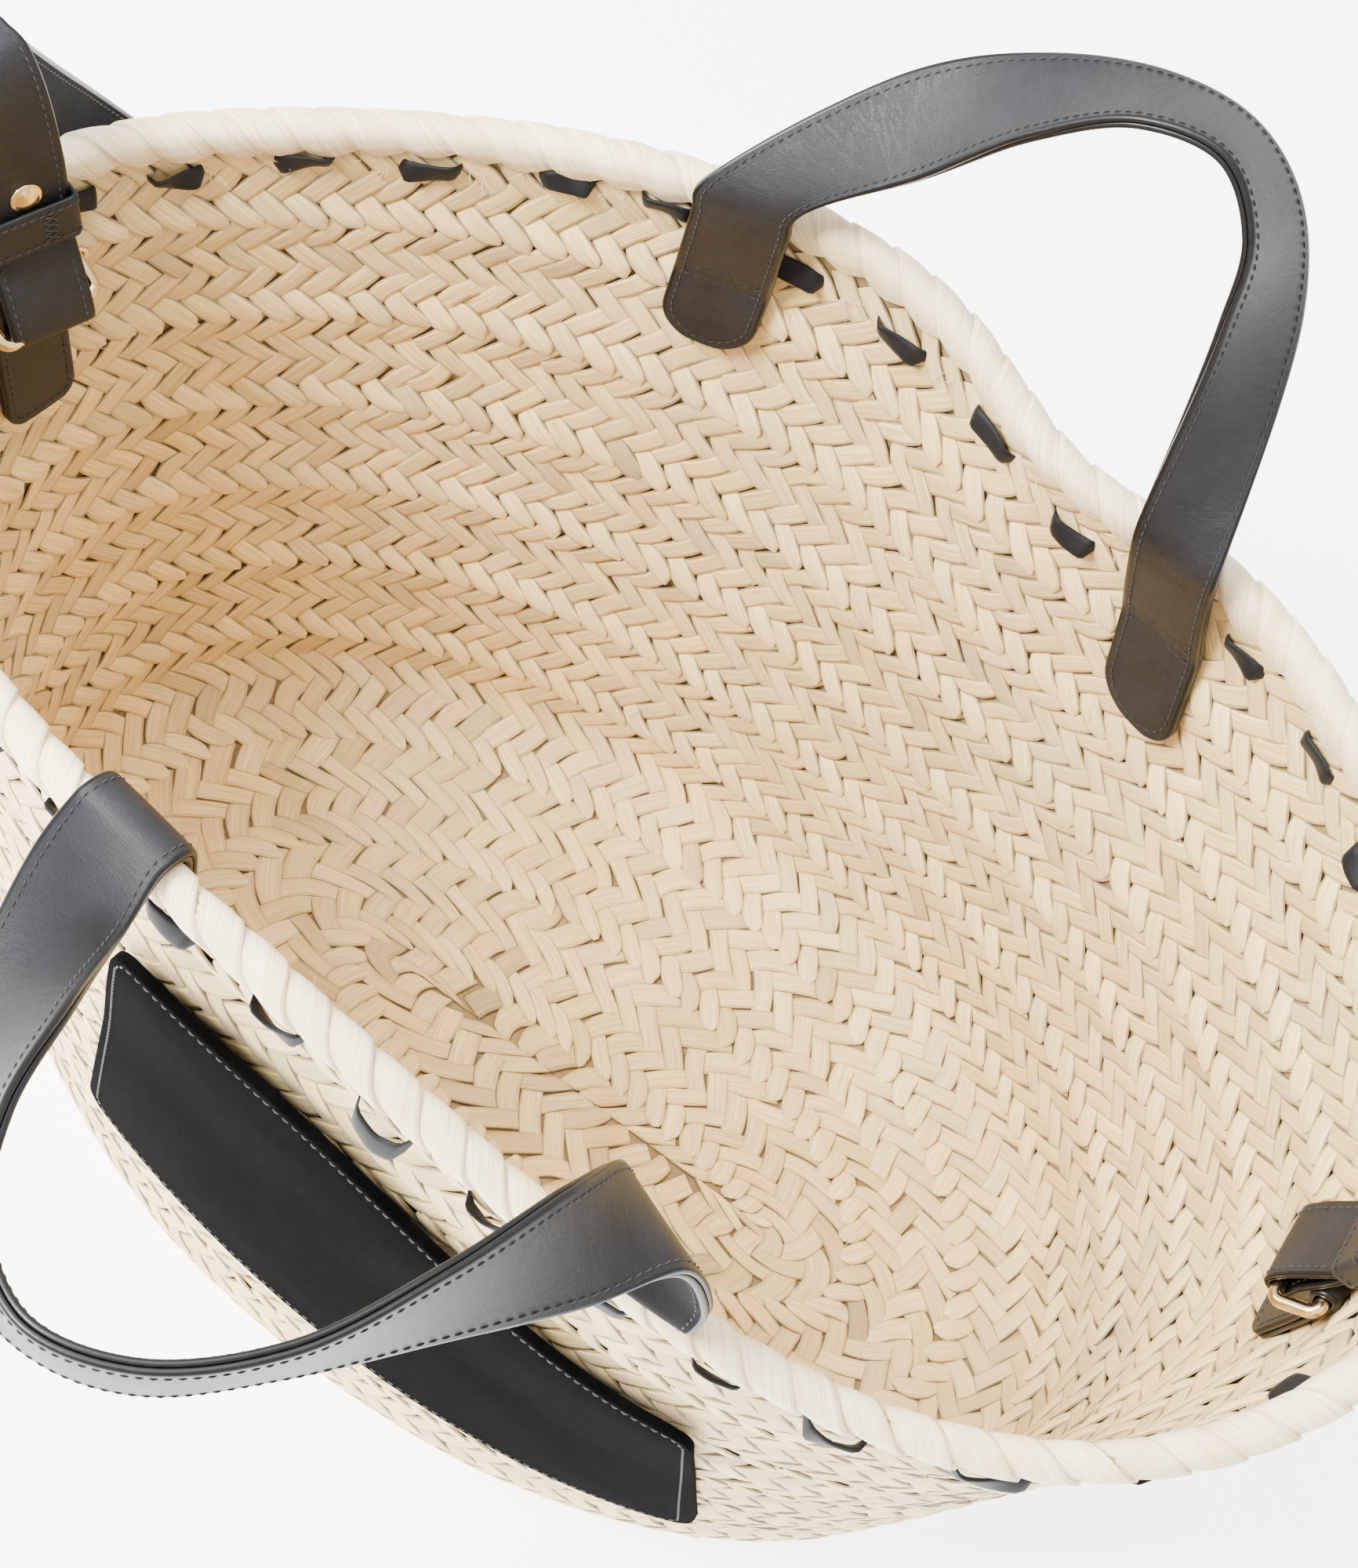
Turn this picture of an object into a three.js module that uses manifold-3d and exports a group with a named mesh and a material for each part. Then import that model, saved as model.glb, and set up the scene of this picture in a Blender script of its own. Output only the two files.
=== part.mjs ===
// Woven palm market basket with leather handles, a leather front panel and a shoulder strap.
// Millimetres, +Z up, the long side along X, the panel side facing -Y, base centre at the origin.
import * as THREE from 'three';
import { mergeVertices } from 'three/addons/utils/BufferGeometryUtils.js';
import Module from 'manifold-3d';

// ---- driving dimensions -------------------------------------------------------------------
const RIM_HALF_LENGTH = 252;     // X half axis of the rim line
const RIM_HALF_DEPTH = 153;      // Y half axis of the rim line
const RIM_SQUARENESS = 2.1;      // superellipse exponent at the rim, 2 at the base
const RIM_HEIGHT = 307;          // mean height of the rim line
const BASE_HALF_LENGTH = 207;
const BASE_HALF_DEPTH = 135;
const FLARE_POWER = 0.92;        // how early the wall opens between base and rim
const CORNER_RADIUS = 30;        // base to wall, outside
const WALL_THICKNESS = 4.6;      // doubled palm strands
const RIM_WAVES = [              // slow rises and dips of a hand-sewn rim
  { turns: 1, cos: -2.5, sin: 0 },
  { turns: 2, cos: -3.5, sin: 7 },
  { turns: 3, cos: 11, sin: 2.5 },
  { turns: 4, cos: 7, sin: 0 },
];
const RIM_BULGE_3 = { cos: -0.015, sin: -0.034 };
const RIM_SWELL = { angle: 0.13, width: 0.32, push: 0.045 };
const RIM_DENT = { angle: 1.4, width: 0.19, push: 0.096, sink: 8.5 };

const CORE_RADIUS = 3.6;
const WRAP_OUTER = 5.3;          // half thickness of the wrapped rim
const WRAP_LAYER = 1.1;
const WRAP_DEPTH = 11;           // how far the wrap reaches below the rim line

const LACE_DROP = 17;            // below the rim line
const LACE_WIDTH = 6;
const LACE_THICKNESS = 1.5;
const LACE_TURNS = 30;           // in-and-out stitches round the rim
const LACE_STAND_OFF = 4.1;      // lace centre from the wall centre
const LACE_CLEARANCE = 0.45;

const STRAP_WIDTH = 31;
const LEATHER = 1.8;             // one layer
const LAYER_GAP = 0.3;
const HANDLE_ROOT_RADIUS = 24;   // start of the swinging loop from the rim line
// Tabs give the plan x of each sewn end and its length below the rim line. The loop gives the
// resting line of the leather, left to right, and the direction of its width there.
const HANDLES = [
  {
    name: 'front_handle',
    side: -1,
    tabs: [{ x: -85, drop: 72 }, { x: 85, drop: 72 }],
    loop: [
      { at: [-70, -200, 350], wide: [-0.74, -0.4, -0.54] },
      { at: [-55, -231, 358], wide: [-0.28, -0.4, -0.88] },
      { at: [-35, -253, 363], wide: [0.07, -0.2, -0.97] },
      { at: [-12, -261, 368], wide: [0.12, 0.1, -0.98] },
      { at: [11, -254, 370], wide: [0, 0.13, -0.99] },
      { at: [34, -232, 372], wide: [-0.07, 0.06, -1] },
      { at: [53, -200, 370], wide: [0.16, -0.2, -0.97] },
      { at: [69, -167, 362], wide: [0.57, -0.5, -0.64] },
      { at: [78, -145, 345], wide: [0.9, -0.4, 0] },
    ],
  },
  {
    name: 'back_handle',
    side: 1,
    tabs: [{ x: -82, drop: 62 }, { x: 92, drop: 74 }],
    loop: [
      { at: [-48, 163, 365], wide: [-0.69, 0.61, 0.4] },
      { at: [-20, 174, 392], wide: [-0.32, 0.95, 0.03] },
      { at: [8, 180, 409], wide: [-0.05, 0.96, -0.27] },
      { at: [33, 182, 411], wide: [-0.01, 0.92, -0.38] },
      { at: [52, 177, 399], wide: [0.12, 0.96, -0.26] },
      { at: [65, 167, 373], wide: [0.48, 0.86, -0.17] },
    ],
  },
];

const PANEL = {
  left: -97,                     // ends at the low edge; both lean in towards the top
  right: 134,
  lean: 15.5,
  low: 0.3,                      // level of the low edge, falling a little towards +X
  fall: 0.0003,
  high: 0.85,                    // level of the top edge, lower at the right end
  dip: 0.105,
  thickness: 3,
  stand: 3,
};

const END_Y = 5;                 // strap ends sit slightly behind the middle
const END_SEAT_DROP = 55;        // where the flat end frame touches the curved end wall
const END_LIFT = 2.1;
const SHOULDER_WIDTH = 27;
const BAR_RADIUS = 2.2;
const RING_HALF_WIDTH = 17.5;
const FOLD_RADIUS = 2.8;
const WALL_BAR = { out: 4.6, rise: 14 };    // ring bar in the anchor tab, above the fold
const FOLD_BAR = { out: 14.8, rise: 4.6 };  // ring bar in the strap fold
const BACK_LAYER = 8;            // return layer of the folded strap from the wall
const FRONT_LAYER = BACK_LAYER + 2.2;
const KEEPER_RISE = 49;          // keeper top above the fold
const KEEPER_HEIGHT = 16;
const RIVET_RISE = 53;
const ENDS = [
  { name: 'left', side: -1, fold: 46, tabEnd: 93, eyelet: 39, arch: 54 },
  { name: 'right', side: 1, fold: 84, tabEnd: 117, eyelet: 86, arch: 50 },
];
const STRAP_LOW_Z = 44;
const STRAP_BACK_Y = 200;

const SEGMENTS = 60;

// ---- small helpers ------------------------------------------------------------------------
const wasm = await Module();
wasm.setup();
const V = (x, y, z) => new THREE.Vector3(x, y, z);
const smooth = (t) => t * t * (3 - 2 * t);
const clamp01 = (t) => Math.min(1, Math.max(0, t));

function closedGeometry(points, faces) {
  const position = new Float32Array(points.length * 3);
  points.forEach((p, i) => p.toArray(position, i * 3));
  let volume = 0;
  for (const [a, b, c] of faces) {
    volume += points[a].dot(points[b].clone().cross(points[c]));
  }
  const index = volume < 0 ? faces.map(([a, b, c]) => [a, c, b]) : faces;
  const geometry = new THREE.BufferGeometry();
  geometry.setAttribute('position', new THREE.BufferAttribute(position, 3));
  geometry.setIndex(index.flat());
  return geometry;
}

// A ring of cross-sections joined end to end; open runs get flat caps.
function loft(sections, closed) {
  const n = sections[0].length;
  const points = sections.flat();
  const faces = [];
  const count = sections.length;
  const last = closed ? count : count - 1;
  for (let i = 0; i < last; i += 1) {
    const j = (i + 1) % count;
    for (let k = 0; k < n; k += 1) {
      const l = (k + 1) % n;
      faces.push([i * n + k, j * n + k, j * n + l]);
      faces.push([i * n + k, j * n + l, i * n + l]);
    }
  }
  if (!closed) {
    const end = (count - 1) * n;
    for (let k = 1; k < n - 1; k += 1) {
      faces.push([0, k, k + 1]);
      faces.push([end, end + k + 1, end + k]);
    }
  }
  return closedGeometry(points, faces);
}

// A plate between two parametric faces, u along and v across.
function slab(nu, nv, upper, lower) {
  const points = [];
  const faces = [];
  const row = nv + 1;
  const half = (nu + 1) * row;
  for (const face of [upper, lower]) {
    for (let i = 0; i <= nu; i += 1) {
      for (let j = 0; j <= nv; j += 1) {
        points.push(face(i / nu, j / nv));
      }
    }
  }
  const at = (i, j) => i * row + j;
  for (let i = 0; i < nu; i += 1) {
    for (let j = 0; j < nv; j += 1) {
      const quad = [at(i, j), at(i + 1, j), at(i + 1, j + 1), at(i, j + 1)];
      const under = quad.map((k) => k + half);
      faces.push([quad[0], quad[1], quad[2]], [quad[0], quad[2], quad[3]]);
      faces.push([under[0], under[2], under[1]], [under[0], under[3], under[2]]);
    }
  }
  const border = [];
  for (let i = 0; i < nu; i += 1) border.push(at(i, 0));
  for (let j = 0; j < nv; j += 1) border.push(at(nu, j));
  for (let i = nu; i > 0; i -= 1) border.push(at(i, nv));
  for (let j = nv; j > 0; j -= 1) border.push(at(0, j));
  border.forEach((a, k) => {
    const b = border[(k + 1) % border.length];
    faces.push([b, a, a + half], [b, a + half, b + half]);
  });
  return closedGeometry(points, faces);
}

function toManifold(geometry) {
  const bare = geometry.clone();
  bare.deleteAttribute('normal');
  bare.deleteAttribute('uv');
  const merged = mergeVertices(bare, 1e-4);
  return new wasm.Manifold(new wasm.Mesh({
    numProp: 3,
    vertProperties: new Float32Array(merged.attributes.position.array),
    triVerts: new Uint32Array(merged.index.array),
  }));
}

function subtract(geometry, cutter) {
  const mesh = toManifold(geometry).subtract(toManifold(cutter)).getMesh();
  const result = new THREE.BufferGeometry();
  result.setAttribute('position', new THREE.BufferAttribute(mesh.vertProperties, 3));
  result.setIndex(new THREE.BufferAttribute(mesh.triVerts, 1));
  return result;
}

const group = new THREE.Group();
group.name = 'market_basket';
function add(name, geometry, color, roughness, metalness) {
  const material = new THREE.MeshStandardMaterial({ color, roughness, metalness });
  const mesh = new THREE.Mesh(geometry.toNonIndexed(), material);
  mesh.geometry.computeVertexNormals();
  mesh.name = name;
  group.add(mesh);
}
const STRAW = '#d8c49c';
const PALE_STRAW = '#e8dcc0';
const BLACK = '#2b2b2d';
const LINING = '#171717';
const GOLD = '#d9b877';

// ---- basket form --------------------------------------------------------------------------
function rimHeight(angle) {
  let z = RIM_HEIGHT;
  for (const wave of RIM_WAVES) {
    z += wave.cos * Math.cos(wave.turns * angle) + wave.sin * Math.sin(wave.turns * angle);
  }
  return z;
}

// Point of the wall at a plan angle and height fraction, moved inward by inset in plan.
function wallPoint(angle, level, inset) {
  const open = level ** FLARE_POWER;
  const power = 2 + (RIM_SQUARENESS - 2) * level;
  const a = BASE_HALF_LENGTH + (RIM_HALF_LENGTH - BASE_HALF_LENGTH) * open;
  const b = BASE_HALF_DEPTH + (RIM_HALF_DEPTH - BASE_HALF_DEPTH) * open;
  const c = Math.cos(angle);
  const s = Math.sin(angle);
  const reach = (Math.abs(c) ** power + Math.abs(s) ** power) ** (-1 / power);
  const around = (angle + 4 * Math.PI) % (2 * Math.PI);
  const dent = Math.exp(-(((around - RIM_DENT.angle) / RIM_DENT.width) ** 2)) * level * level;
  const wave = RIM_BULGE_3.cos * Math.cos(3 * angle) + RIM_BULGE_3.sin * Math.sin(3 * angle);
  const turned = ((angle + 5 * Math.PI) % (2 * Math.PI)) - Math.PI;
  const swell = Math.exp(-(((turned - RIM_SWELL.angle) / RIM_SWELL.width) ** 2)) * level;
  const scale = 1 + level * level * wave + swell * RIM_SWELL.push - dent * RIM_DENT.push;
  const x = (a * reach * scale - inset) * c;
  const y = (b * reach * scale - inset) * s;
  return V(x, y, level * (rimHeight(angle) - RIM_DENT.sink * dent));
}

// Outward direction of the wall in plan.
function outward(angle, level) {
  const step = 1e-3;
  const along = wallPoint(angle + step, level, 0).sub(wallPoint(angle - step, level, 0));
  return V(along.y, -along.x, 0).normalize();
}

function onWall(angle, level, out) {
  return wallPoint(angle, level, 0).addScaledVector(outward(angle, level), out);
}

// Plan angle at which the wall reaches a given x on the front (-1) or back (1).
function angleAtX(x, side, level) {
  let near = 0;
  let far = Math.PI;
  for (let i = 0; i < 40; i += 1) {
    const middle = (near + far) / 2;
    if (wallPoint(side * middle, level, 0).x > x) near = middle;
    else far = middle;
  }
  return side * (near + far) / 2;
}

// Plan angle at which the wall reaches a given y at the left (-1) or right (1) end.
function angleAtY(y, side, level) {
  const centre = side > 0 ? 0 : Math.PI;
  let near = centre - 1.2;
  let far = centre + 1.2;
  for (let i = 0; i < 40; i += 1) {
    const middle = (near + far) / 2;
    if ((wallPoint(middle, level, 0).y < y) === (side > 0)) near = middle;
    else far = middle;
  }
  return (near + far) / 2;
}

// ---- woven body ---------------------------------------------------------------------------
const wallTop = 1 - (CORE_RADIUS + 0.8) / RIM_HEIGHT;
function bodySkin(angle, out, rise) {
  const radius = CORNER_RADIUS - rise;
  const section = [];
  for (let k = 0; k <= 4; k += 1) {
    const turn = k * Math.PI / 8;
    const z = CORNER_RADIUS - radius * Math.cos(turn);
    const inset = CORNER_RADIUS - WALL_THICKNESS / 2 - radius * Math.sin(turn);
    section.push(wallPoint(angle, z / RIM_HEIGHT, inset));
  }
  for (const level of [0.3, 0.5, 0.7, 0.86, wallTop]) {
    section.push(onWall(angle, level, out));
  }
  return section;
}

function wovenBody() {
  const sections = [];
  for (let i = 0; i < SEGMENTS; i += 1) {
    const angle = i * 2 * Math.PI / SEGMENTS;
    const outer = bodySkin(angle, WALL_THICKNESS / 2, 0);
    const inner = bodySkin(angle, -WALL_THICKNESS / 2, WALL_THICKNESS);
    sections.push([...outer, ...inner.reverse()]);
  }
  const n = sections[0].length;
  const points = sections.flat();
  const faces = [];
  const outerPole = points.length;
  points.push(V(0, 0, 0));
  const innerPole = points.length;
  points.push(V(0, 0, WALL_THICKNESS));
  for (let i = 0; i < SEGMENTS; i += 1) {
    const j = (i + 1) % SEGMENTS;
    for (let k = 0; k < n - 1; k += 1) {
      faces.push([i * n + k, j * n + k, j * n + k + 1]);
      faces.push([i * n + k, j * n + k + 1, i * n + k + 1]);
    }
    faces.push([outerPole, j * n, i * n]);
    faces.push([innerPole, i * n + n - 1, j * n + n - 1]);
  }
  return closedGeometry(points, faces);
}

// Plan angles spaced evenly along the rim.
function evenAngles(count, level) {
  const fine = 1440;
  const lengths = [0];
  for (let i = 1; i <= fine; i += 1) {
    const a = wallPoint((i - 1) * 2 * Math.PI / fine, level, 0);
    const b = wallPoint(i * 2 * Math.PI / fine, level, 0);
    lengths.push(lengths[i - 1] + a.distanceTo(b));
  }
  const angles = [];
  let k = 0;
  for (let i = 0; i < count; i += 1) {
    const target = lengths[fine] * i / count;
    while (lengths[k + 1] < target) k += 1;
    const part = (target - lengths[k]) / (lengths[k + 1] - lengths[k]);
    angles.push((k + part) * 2 * Math.PI / fine);
  }
  return angles;
}

// The lace weaves through the wall: half of each turn inside, half outside.
function laceBand(grow) {
  const perTurn = 12;
  const use = [0, 2, 4, 6, 8, 10];
  const angles = evenAngles(LACE_TURNS * perTurn, 0.9);
  const path = [];
  angles.forEach((angle, i) => {
    const phase = i % perTurn;
    if (!use.includes(phase)) return;
    const out = phase < 5 ? LACE_STAND_OFF : -LACE_STAND_OFF;
    const level = 1 - LACE_DROP / rimHeight(angle);
    path.push(onWall(angle, level, out));
  });
  const halfWidth = LACE_WIDTH / 2 + grow;
  const halfThick = LACE_THICKNESS / 2 + grow;
  const sections = path.map((p, i) => {
    const before = path[(i + path.length - 1) % path.length];
    const after = path[(i + 1) % path.length];
    const inDir = p.clone().sub(before).setZ(0).normalize();
    const outDir = after.clone().sub(p).setZ(0).normalize();
    const mean = inDir.clone().add(outDir).normalize();
    const across = V(mean.y, -mean.x, 0).multiplyScalar(halfThick / mean.dot(inDir));
    return [
      p.clone().add(across).setZ(p.z - halfWidth),
      p.clone().add(across).setZ(p.z + halfWidth),
      p.clone().sub(across).setZ(p.z + halfWidth),
      p.clone().sub(across).setZ(p.z - halfWidth),
    ];
  });
  return loft(sections, true);
}

add('woven_body', subtract(wovenBody(), laceBand(LACE_CLEARANCE)), STRAW, 0.85, 0);
add('rim_lace', laceBand(0), BLACK, 0.6, 0);

// A closed band round the rim whose section is given in (outward, up) pairs.
function rimBand(profile) {
  const sections = [];
  for (let i = 0; i < SEGMENTS; i += 1) {
    const angle = i * 2 * Math.PI / SEGMENTS;
    const rim = wallPoint(angle, 1, 0);
    const out = outward(angle, 1);
    sections.push(profile.map(([o, u]) => {
      if (u < -CORE_RADIUS) return onWall(angle, 1 + u / rim.z, o);
      return rim.clone().addScaledVector(out, o).add(V(0, 0, u));
    }));
  }
  return loft(sections, true);
}

const coreProfile = [];
for (let k = 0; k < 6; k += 1) {
  const turn = (k + 0.5) * Math.PI / 3;
  coreProfile.push([CORE_RADIUS * Math.cos(turn), CORE_RADIUS * Math.sin(turn)]);
}
add('rim_core', rimBand(coreProfile), STRAW, 0.9, 0);

const wrapInner = WRAP_OUTER - WRAP_LAYER;
add('rim_wrap', rimBand([
  [WRAP_OUTER, -WRAP_DEPTH],
  [WRAP_OUTER, 1.5],
  [WRAP_OUTER * 0.55, WRAP_OUTER],
  [-WRAP_OUTER * 0.55, WRAP_OUTER],
  [-WRAP_OUTER, 1.5],
  [-WRAP_OUTER, -WRAP_DEPTH],
  [-wrapInner, -WRAP_DEPTH],
  [-wrapInner, 1.6],
  [-wrapInner * 0.5, wrapInner],
  [wrapInner * 0.5, wrapInner],
  [wrapInner, 1.6],
  [wrapInner, -WRAP_DEPTH],
]), PALE_STRAW, 0.75, 0);

// ---- carrying handles ---------------------------------------------------------------------
const endLayer = 2 * LEATHER;
const tabOffset = WALL_THICKNESS / 2 + 1.3 + LEATHER;
const overOffset = WRAP_OUTER + 1.4 + LEATHER;

// Path of the sewn end, inward offset and drop below the rim line, from the tab to the rim.
function tabPath(length) {
  const path = [];
  for (const up of [0, 1.6, 5, 11, 22]) {
    path.push([tabOffset, length - up]);
  }
  path.push([tabOffset, 32], [overOffset, 25], [overOffset, 12], [overOffset, 0]);
  for (let k = 1; k <= 5; k += 1) {
    const turn = k * Math.PI / 8;
    path.push([overOffset * Math.cos(turn), -overOffset * Math.sin(turn)]);
  }
  return path;
}

function tabHalfWidth(up) {
  const round = STRAP_WIDTH / 2;
  if (up >= round) return round;
  return Math.max(5, Math.sqrt(round * round - (round - up) ** 2));
}

function handleEnd(xCentre, length, side) {
  const path = tabPath(length);
  const count = path.length - 1;
  const face = (shift) => (u, v) => {
    const i = Math.round(u * count);
    const [offset, drop] = path[i];
    const ahead = path[Math.min(i + 1, count)];
    const behind = path[Math.max(i - 1, 0)];
    const along = new THREE.Vector2(ahead[0] - behind[0], ahead[1] - behind[1]).normalize();
    const x = xCentre + (2 * v - 1) * tabHalfWidth(length - drop);
    const inset = offset - along.y * shift;
    const down = drop + along.x * shift;
    const rimAngle = angleAtX(x, side, 1);
    const top = wallPoint(rimAngle, 1, 0);
    if (down <= 0) {
      return top.addScaledVector(outward(rimAngle, 1), -inset).add(V(0, 0, -down));
    }
    const level = 1 - down / top.z;
    const angle = angleAtX(x, side, level);
    return onWall(angle, level, -inset);
  };
  return slab(count, 2, face(endLayer / 2), face(-endLayer / 2));
}

function bezier(controls, t) {
  const s = 1 - t;
  return controls[0].clone().multiplyScalar(s * s * s)
    .addScaledVector(controls[1], 3 * s * s * t)
    .addScaledVector(controls[2], 3 * s * t * t)
    .addScaledVector(controls[3], t * t * t);
}

function rimAtX(x, side) {
  return wallPoint(angleAtX(x, side, 1), 1, 0);
}

// Centre line and width direction of a swinging handle loop.
function handleLine(handle, stations) {
  const roots = handle.tabs.map((tab) => rimAtX(tab.x, handle.side));
  const axis = roots[1].clone().sub(roots[0]).normalize();
  const points = handle.loop.map((key) => V(...key.at));
  const widths = handle.loop.map((key) => V(...key.wide).normalize());
  const ends = [points[0], points[points.length - 1]];
  const starts = roots.map((root, k) => {
    const away = ends[k].clone().sub(root);
    away.addScaledVector(axis, -away.dot(axis) * 0.7).normalize();
    return root.clone().addScaledVector(away, HANDLE_ROOT_RADIUS);
  });
  points.unshift(starts[0]);
  points.push(starts[1]);
  widths.unshift(axis.clone().negate());
  widths.push(axis.clone());
  const curve = new THREE.CatmullRomCurve3(points, false, 'centripetal');
  const last = points.length - 1;
  const line = [];
  for (let i = 0; i <= stations; i += 1) {
    const t = i / stations;
    const along = curve.getTangent(t);
    const k = Math.min(Math.floor(t * last), last - 1);
    const across = widths[k].clone().lerp(widths[k + 1], smooth(t * last - k));
    across.addScaledVector(along, -across.dot(along)).normalize();
    const face = along.clone().cross(across).multiplyScalar(handle.side);
    line.push({ p: curve.getPoint(t), across, face });
  }
  return line;
}

// One leather layer of a strap, from low to high along its face direction.
function strapLayer(line, width, low, high) {
  const count = line.length - 1;
  const at = (lift) => (u, v) => {
    const { p, across, face } = line[Math.round(u * count)];
    return p.clone().addScaledVector(across, (v - 0.5) * width).addScaledVector(face, lift);
  };
  return slab(count, 2, at(high), at(low));
}

for (const handle of HANDLES) {
  handle.tabs.forEach((tab, k) => {
    const name = `${handle.name}_${k === 0 ? 'left' : 'right'}_end`;
    add(name, handleEnd(tab.x, tab.drop, handle.side), BLACK, 0.5, 0);
  });
  const line = handleLine(handle, 28);
  const gap = LAYER_GAP / 2;
  add(`${handle.name}_face`, strapLayer(line, STRAP_WIDTH, gap, gap + LEATHER), BLACK, 0.5, 0);
  add(`${handle.name}_lining`, strapLayer(line, STRAP_WIDTH, -gap - LEATHER, -gap), LINING, 0.7, 0);
}

// ---- front panel --------------------------------------------------------------------------
function panelFace(lift) {
  return (u, v) => {
    const left = PANEL.left + PANEL.lean * v;
    const right = PANEL.right - PANEL.lean * v;
    const x = left + (right - left) * u;
    const edge = Math.min(u, 1 - u) * (right - left);
    const trim = edge < 8 ? (8 - Math.sqrt(64 - (8 - edge) ** 2)) / 165 : 0;
    const low = PANEL.low - PANEL.fall * x;
    const high = PANEL.high - PANEL.dip * smooth(clamp01((x + 20) / 140));
    const level = low + trim + (high - low - 2 * trim) * v;
    const stand = 0.6 + PANEL.stand * smooth(clamp01((v - 0.5) / 0.5));
    return onWall(angleAtX(x, -1, level), level, WALL_THICKNESS / 2 + stand + lift);
  };
}
add('front_panel', slab(20, 4, panelFace(PANEL.thickness), panelFace(0)), BLACK, 0.7, 0);

// ---- shoulder strap ends ------------------------------------------------------------------
// Flat frame touching the inside of the wall: inward, down along the wall, and across.
function wallFrame(angle, level, lift) {
  const origin = onWall(angle, level, -WALL_THICKNESS / 2);
  const down = onWall(angle, level - 0.05, -WALL_THICKNESS / 2).sub(origin);
  const out = outward(angle, level);
  const across = V(-out.y, out.x, 0).multiplyScalar(Math.sign(out.x));
  down.addScaledVector(across, -down.dot(across)).normalize();
  const inward = across.clone().cross(down);
  if (inward.dot(out) > 0) inward.negate();
  const place = (n, drop, y) => origin.clone().addScaledVector(inward, n + lift)
    .addScaledVector(down, drop).addScaledVector(across, y);
  return { place, across, out };
}

function endFrame(side) {
  const level = 1 - END_SEAT_DROP / rimHeight(side > 0 ? 0 : Math.PI);
  const frame = wallFrame(angleAtY(END_Y, side, level), level, END_LIFT);
  const place = (n, drop, y) => frame.place(n, drop - END_SEAT_DROP, y);
  return { ...frame, place };
}

// Where the strap crosses above the rim.
function strapCrest(end) {
  const rim = wallPoint(angleAtY(END_Y, end.side, 1), 1, 0);
  return V(rim.x + end.side * 4, END_Y, rim.z + end.arch);
}

// A strip of constant width whose centre line is a list of (inward, drop) pairs.
function flatStrip(place, path, half, thickness) {
  const sections = path.map(([n, d], i) => {
    const [na, da] = path[Math.min(i + 1, path.length - 1)];
    const [nb, db] = path[Math.max(i - 1, 0)];
    const along = new THREE.Vector2(na - nb, da - db).normalize();
    const t = thickness / 2;
    return [
      place(n - along.y * t, d + along.x * t, -half),
      place(n - along.y * t, d + along.x * t, half),
      place(n + along.y * t, d - along.x * t, half),
      place(n + along.y * t, d - along.x * t, -half),
    ];
  });
  return loft(sections, false);
}

function arcPath(n, drop, radius, from, to, steps) {
  const path = [];
  for (let i = 0; i <= steps; i += 1) {
    const turn = THREE.MathUtils.degToRad(from + (to - from) * i / steps);
    path.push([n + radius * Math.cos(turn), drop + radius * Math.sin(turn)]);
  }
  return path;
}

const foldCentre = FOLD_RADIUS + LEATHER / 2;

// A rounded wire rectangle whose long bars sit in the anchor tab and in the strap fold.
function ringGeometry(place, fold) {
  const corner = 3;
  const tilt = new THREE.Vector2(FOLD_BAR.out - WALL_BAR.out, WALL_BAR.rise - FOLD_BAR.rise);
  const halfHeight = tilt.length() / 2;
  tilt.normalize();
  const middle = [(WALL_BAR.out + FOLD_BAR.out) / 2, fold - (WALL_BAR.rise + FOLD_BAR.rise) / 2];
  const centres = [];
  for (const [sy, sd, start] of [[1, -1, -90], [1, 1, 0], [-1, 1, 90], [-1, -1, 180]]) {
    for (let k = 0; k <= 3; k += 1) {
      const turn = THREE.MathUtils.degToRad(start + 30 * k);
      const y = sy * (RING_HALF_WIDTH - corner) + corner * Math.cos(turn);
      const d = sd * (halfHeight - corner) + corner * Math.sin(turn);
      centres.push({ y, d, dir: [Math.cos(turn), Math.sin(turn)] });
    }
  }
  return loft(centres.map((c) => {
    const section = [];
    for (let k = 0; k < 6; k += 1) {
      const turn = (k + 0.5) * Math.PI / 3;
      const spread = BAR_RADIUS * Math.cos(turn);
      const lift = BAR_RADIUS * Math.sin(turn);
      const d = c.d + c.dir[1] * spread;
      section.push(place(middle[0] + tilt.x * d + tilt.y * lift,
        middle[1] + tilt.y * d - tilt.x * lift, c.y + c.dir[0] * spread));
    }
    return section;
  }), true);
}

function disc(place, n0, n1, drop, y, radius, sides) {
  const ring = (n) => {
    const section = [];
    for (let k = 0; k < sides; k += 1) {
      const turn = k * 2 * Math.PI / sides;
      section.push(place(n, drop + radius * Math.sin(turn), y + radius * Math.cos(turn)));
    }
    return section;
  };
  return loft([ring(n0), ring(n1)], false);
}

function washer(place, n0, n1, drop, y, outer, inner, sides) {
  return loft(Array.from({ length: sides }, (_, k) => {
    const turn = k * 2 * Math.PI / sides;
    return [[outer, n0], [outer, n1], [inner, n1], [inner, n0]].map(([r, n]) =>
      place(n, drop + r * Math.sin(turn), y + r * Math.cos(turn)));
  }), true);
}

const strapHalf = SHOULDER_WIDTH / 2;

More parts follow.
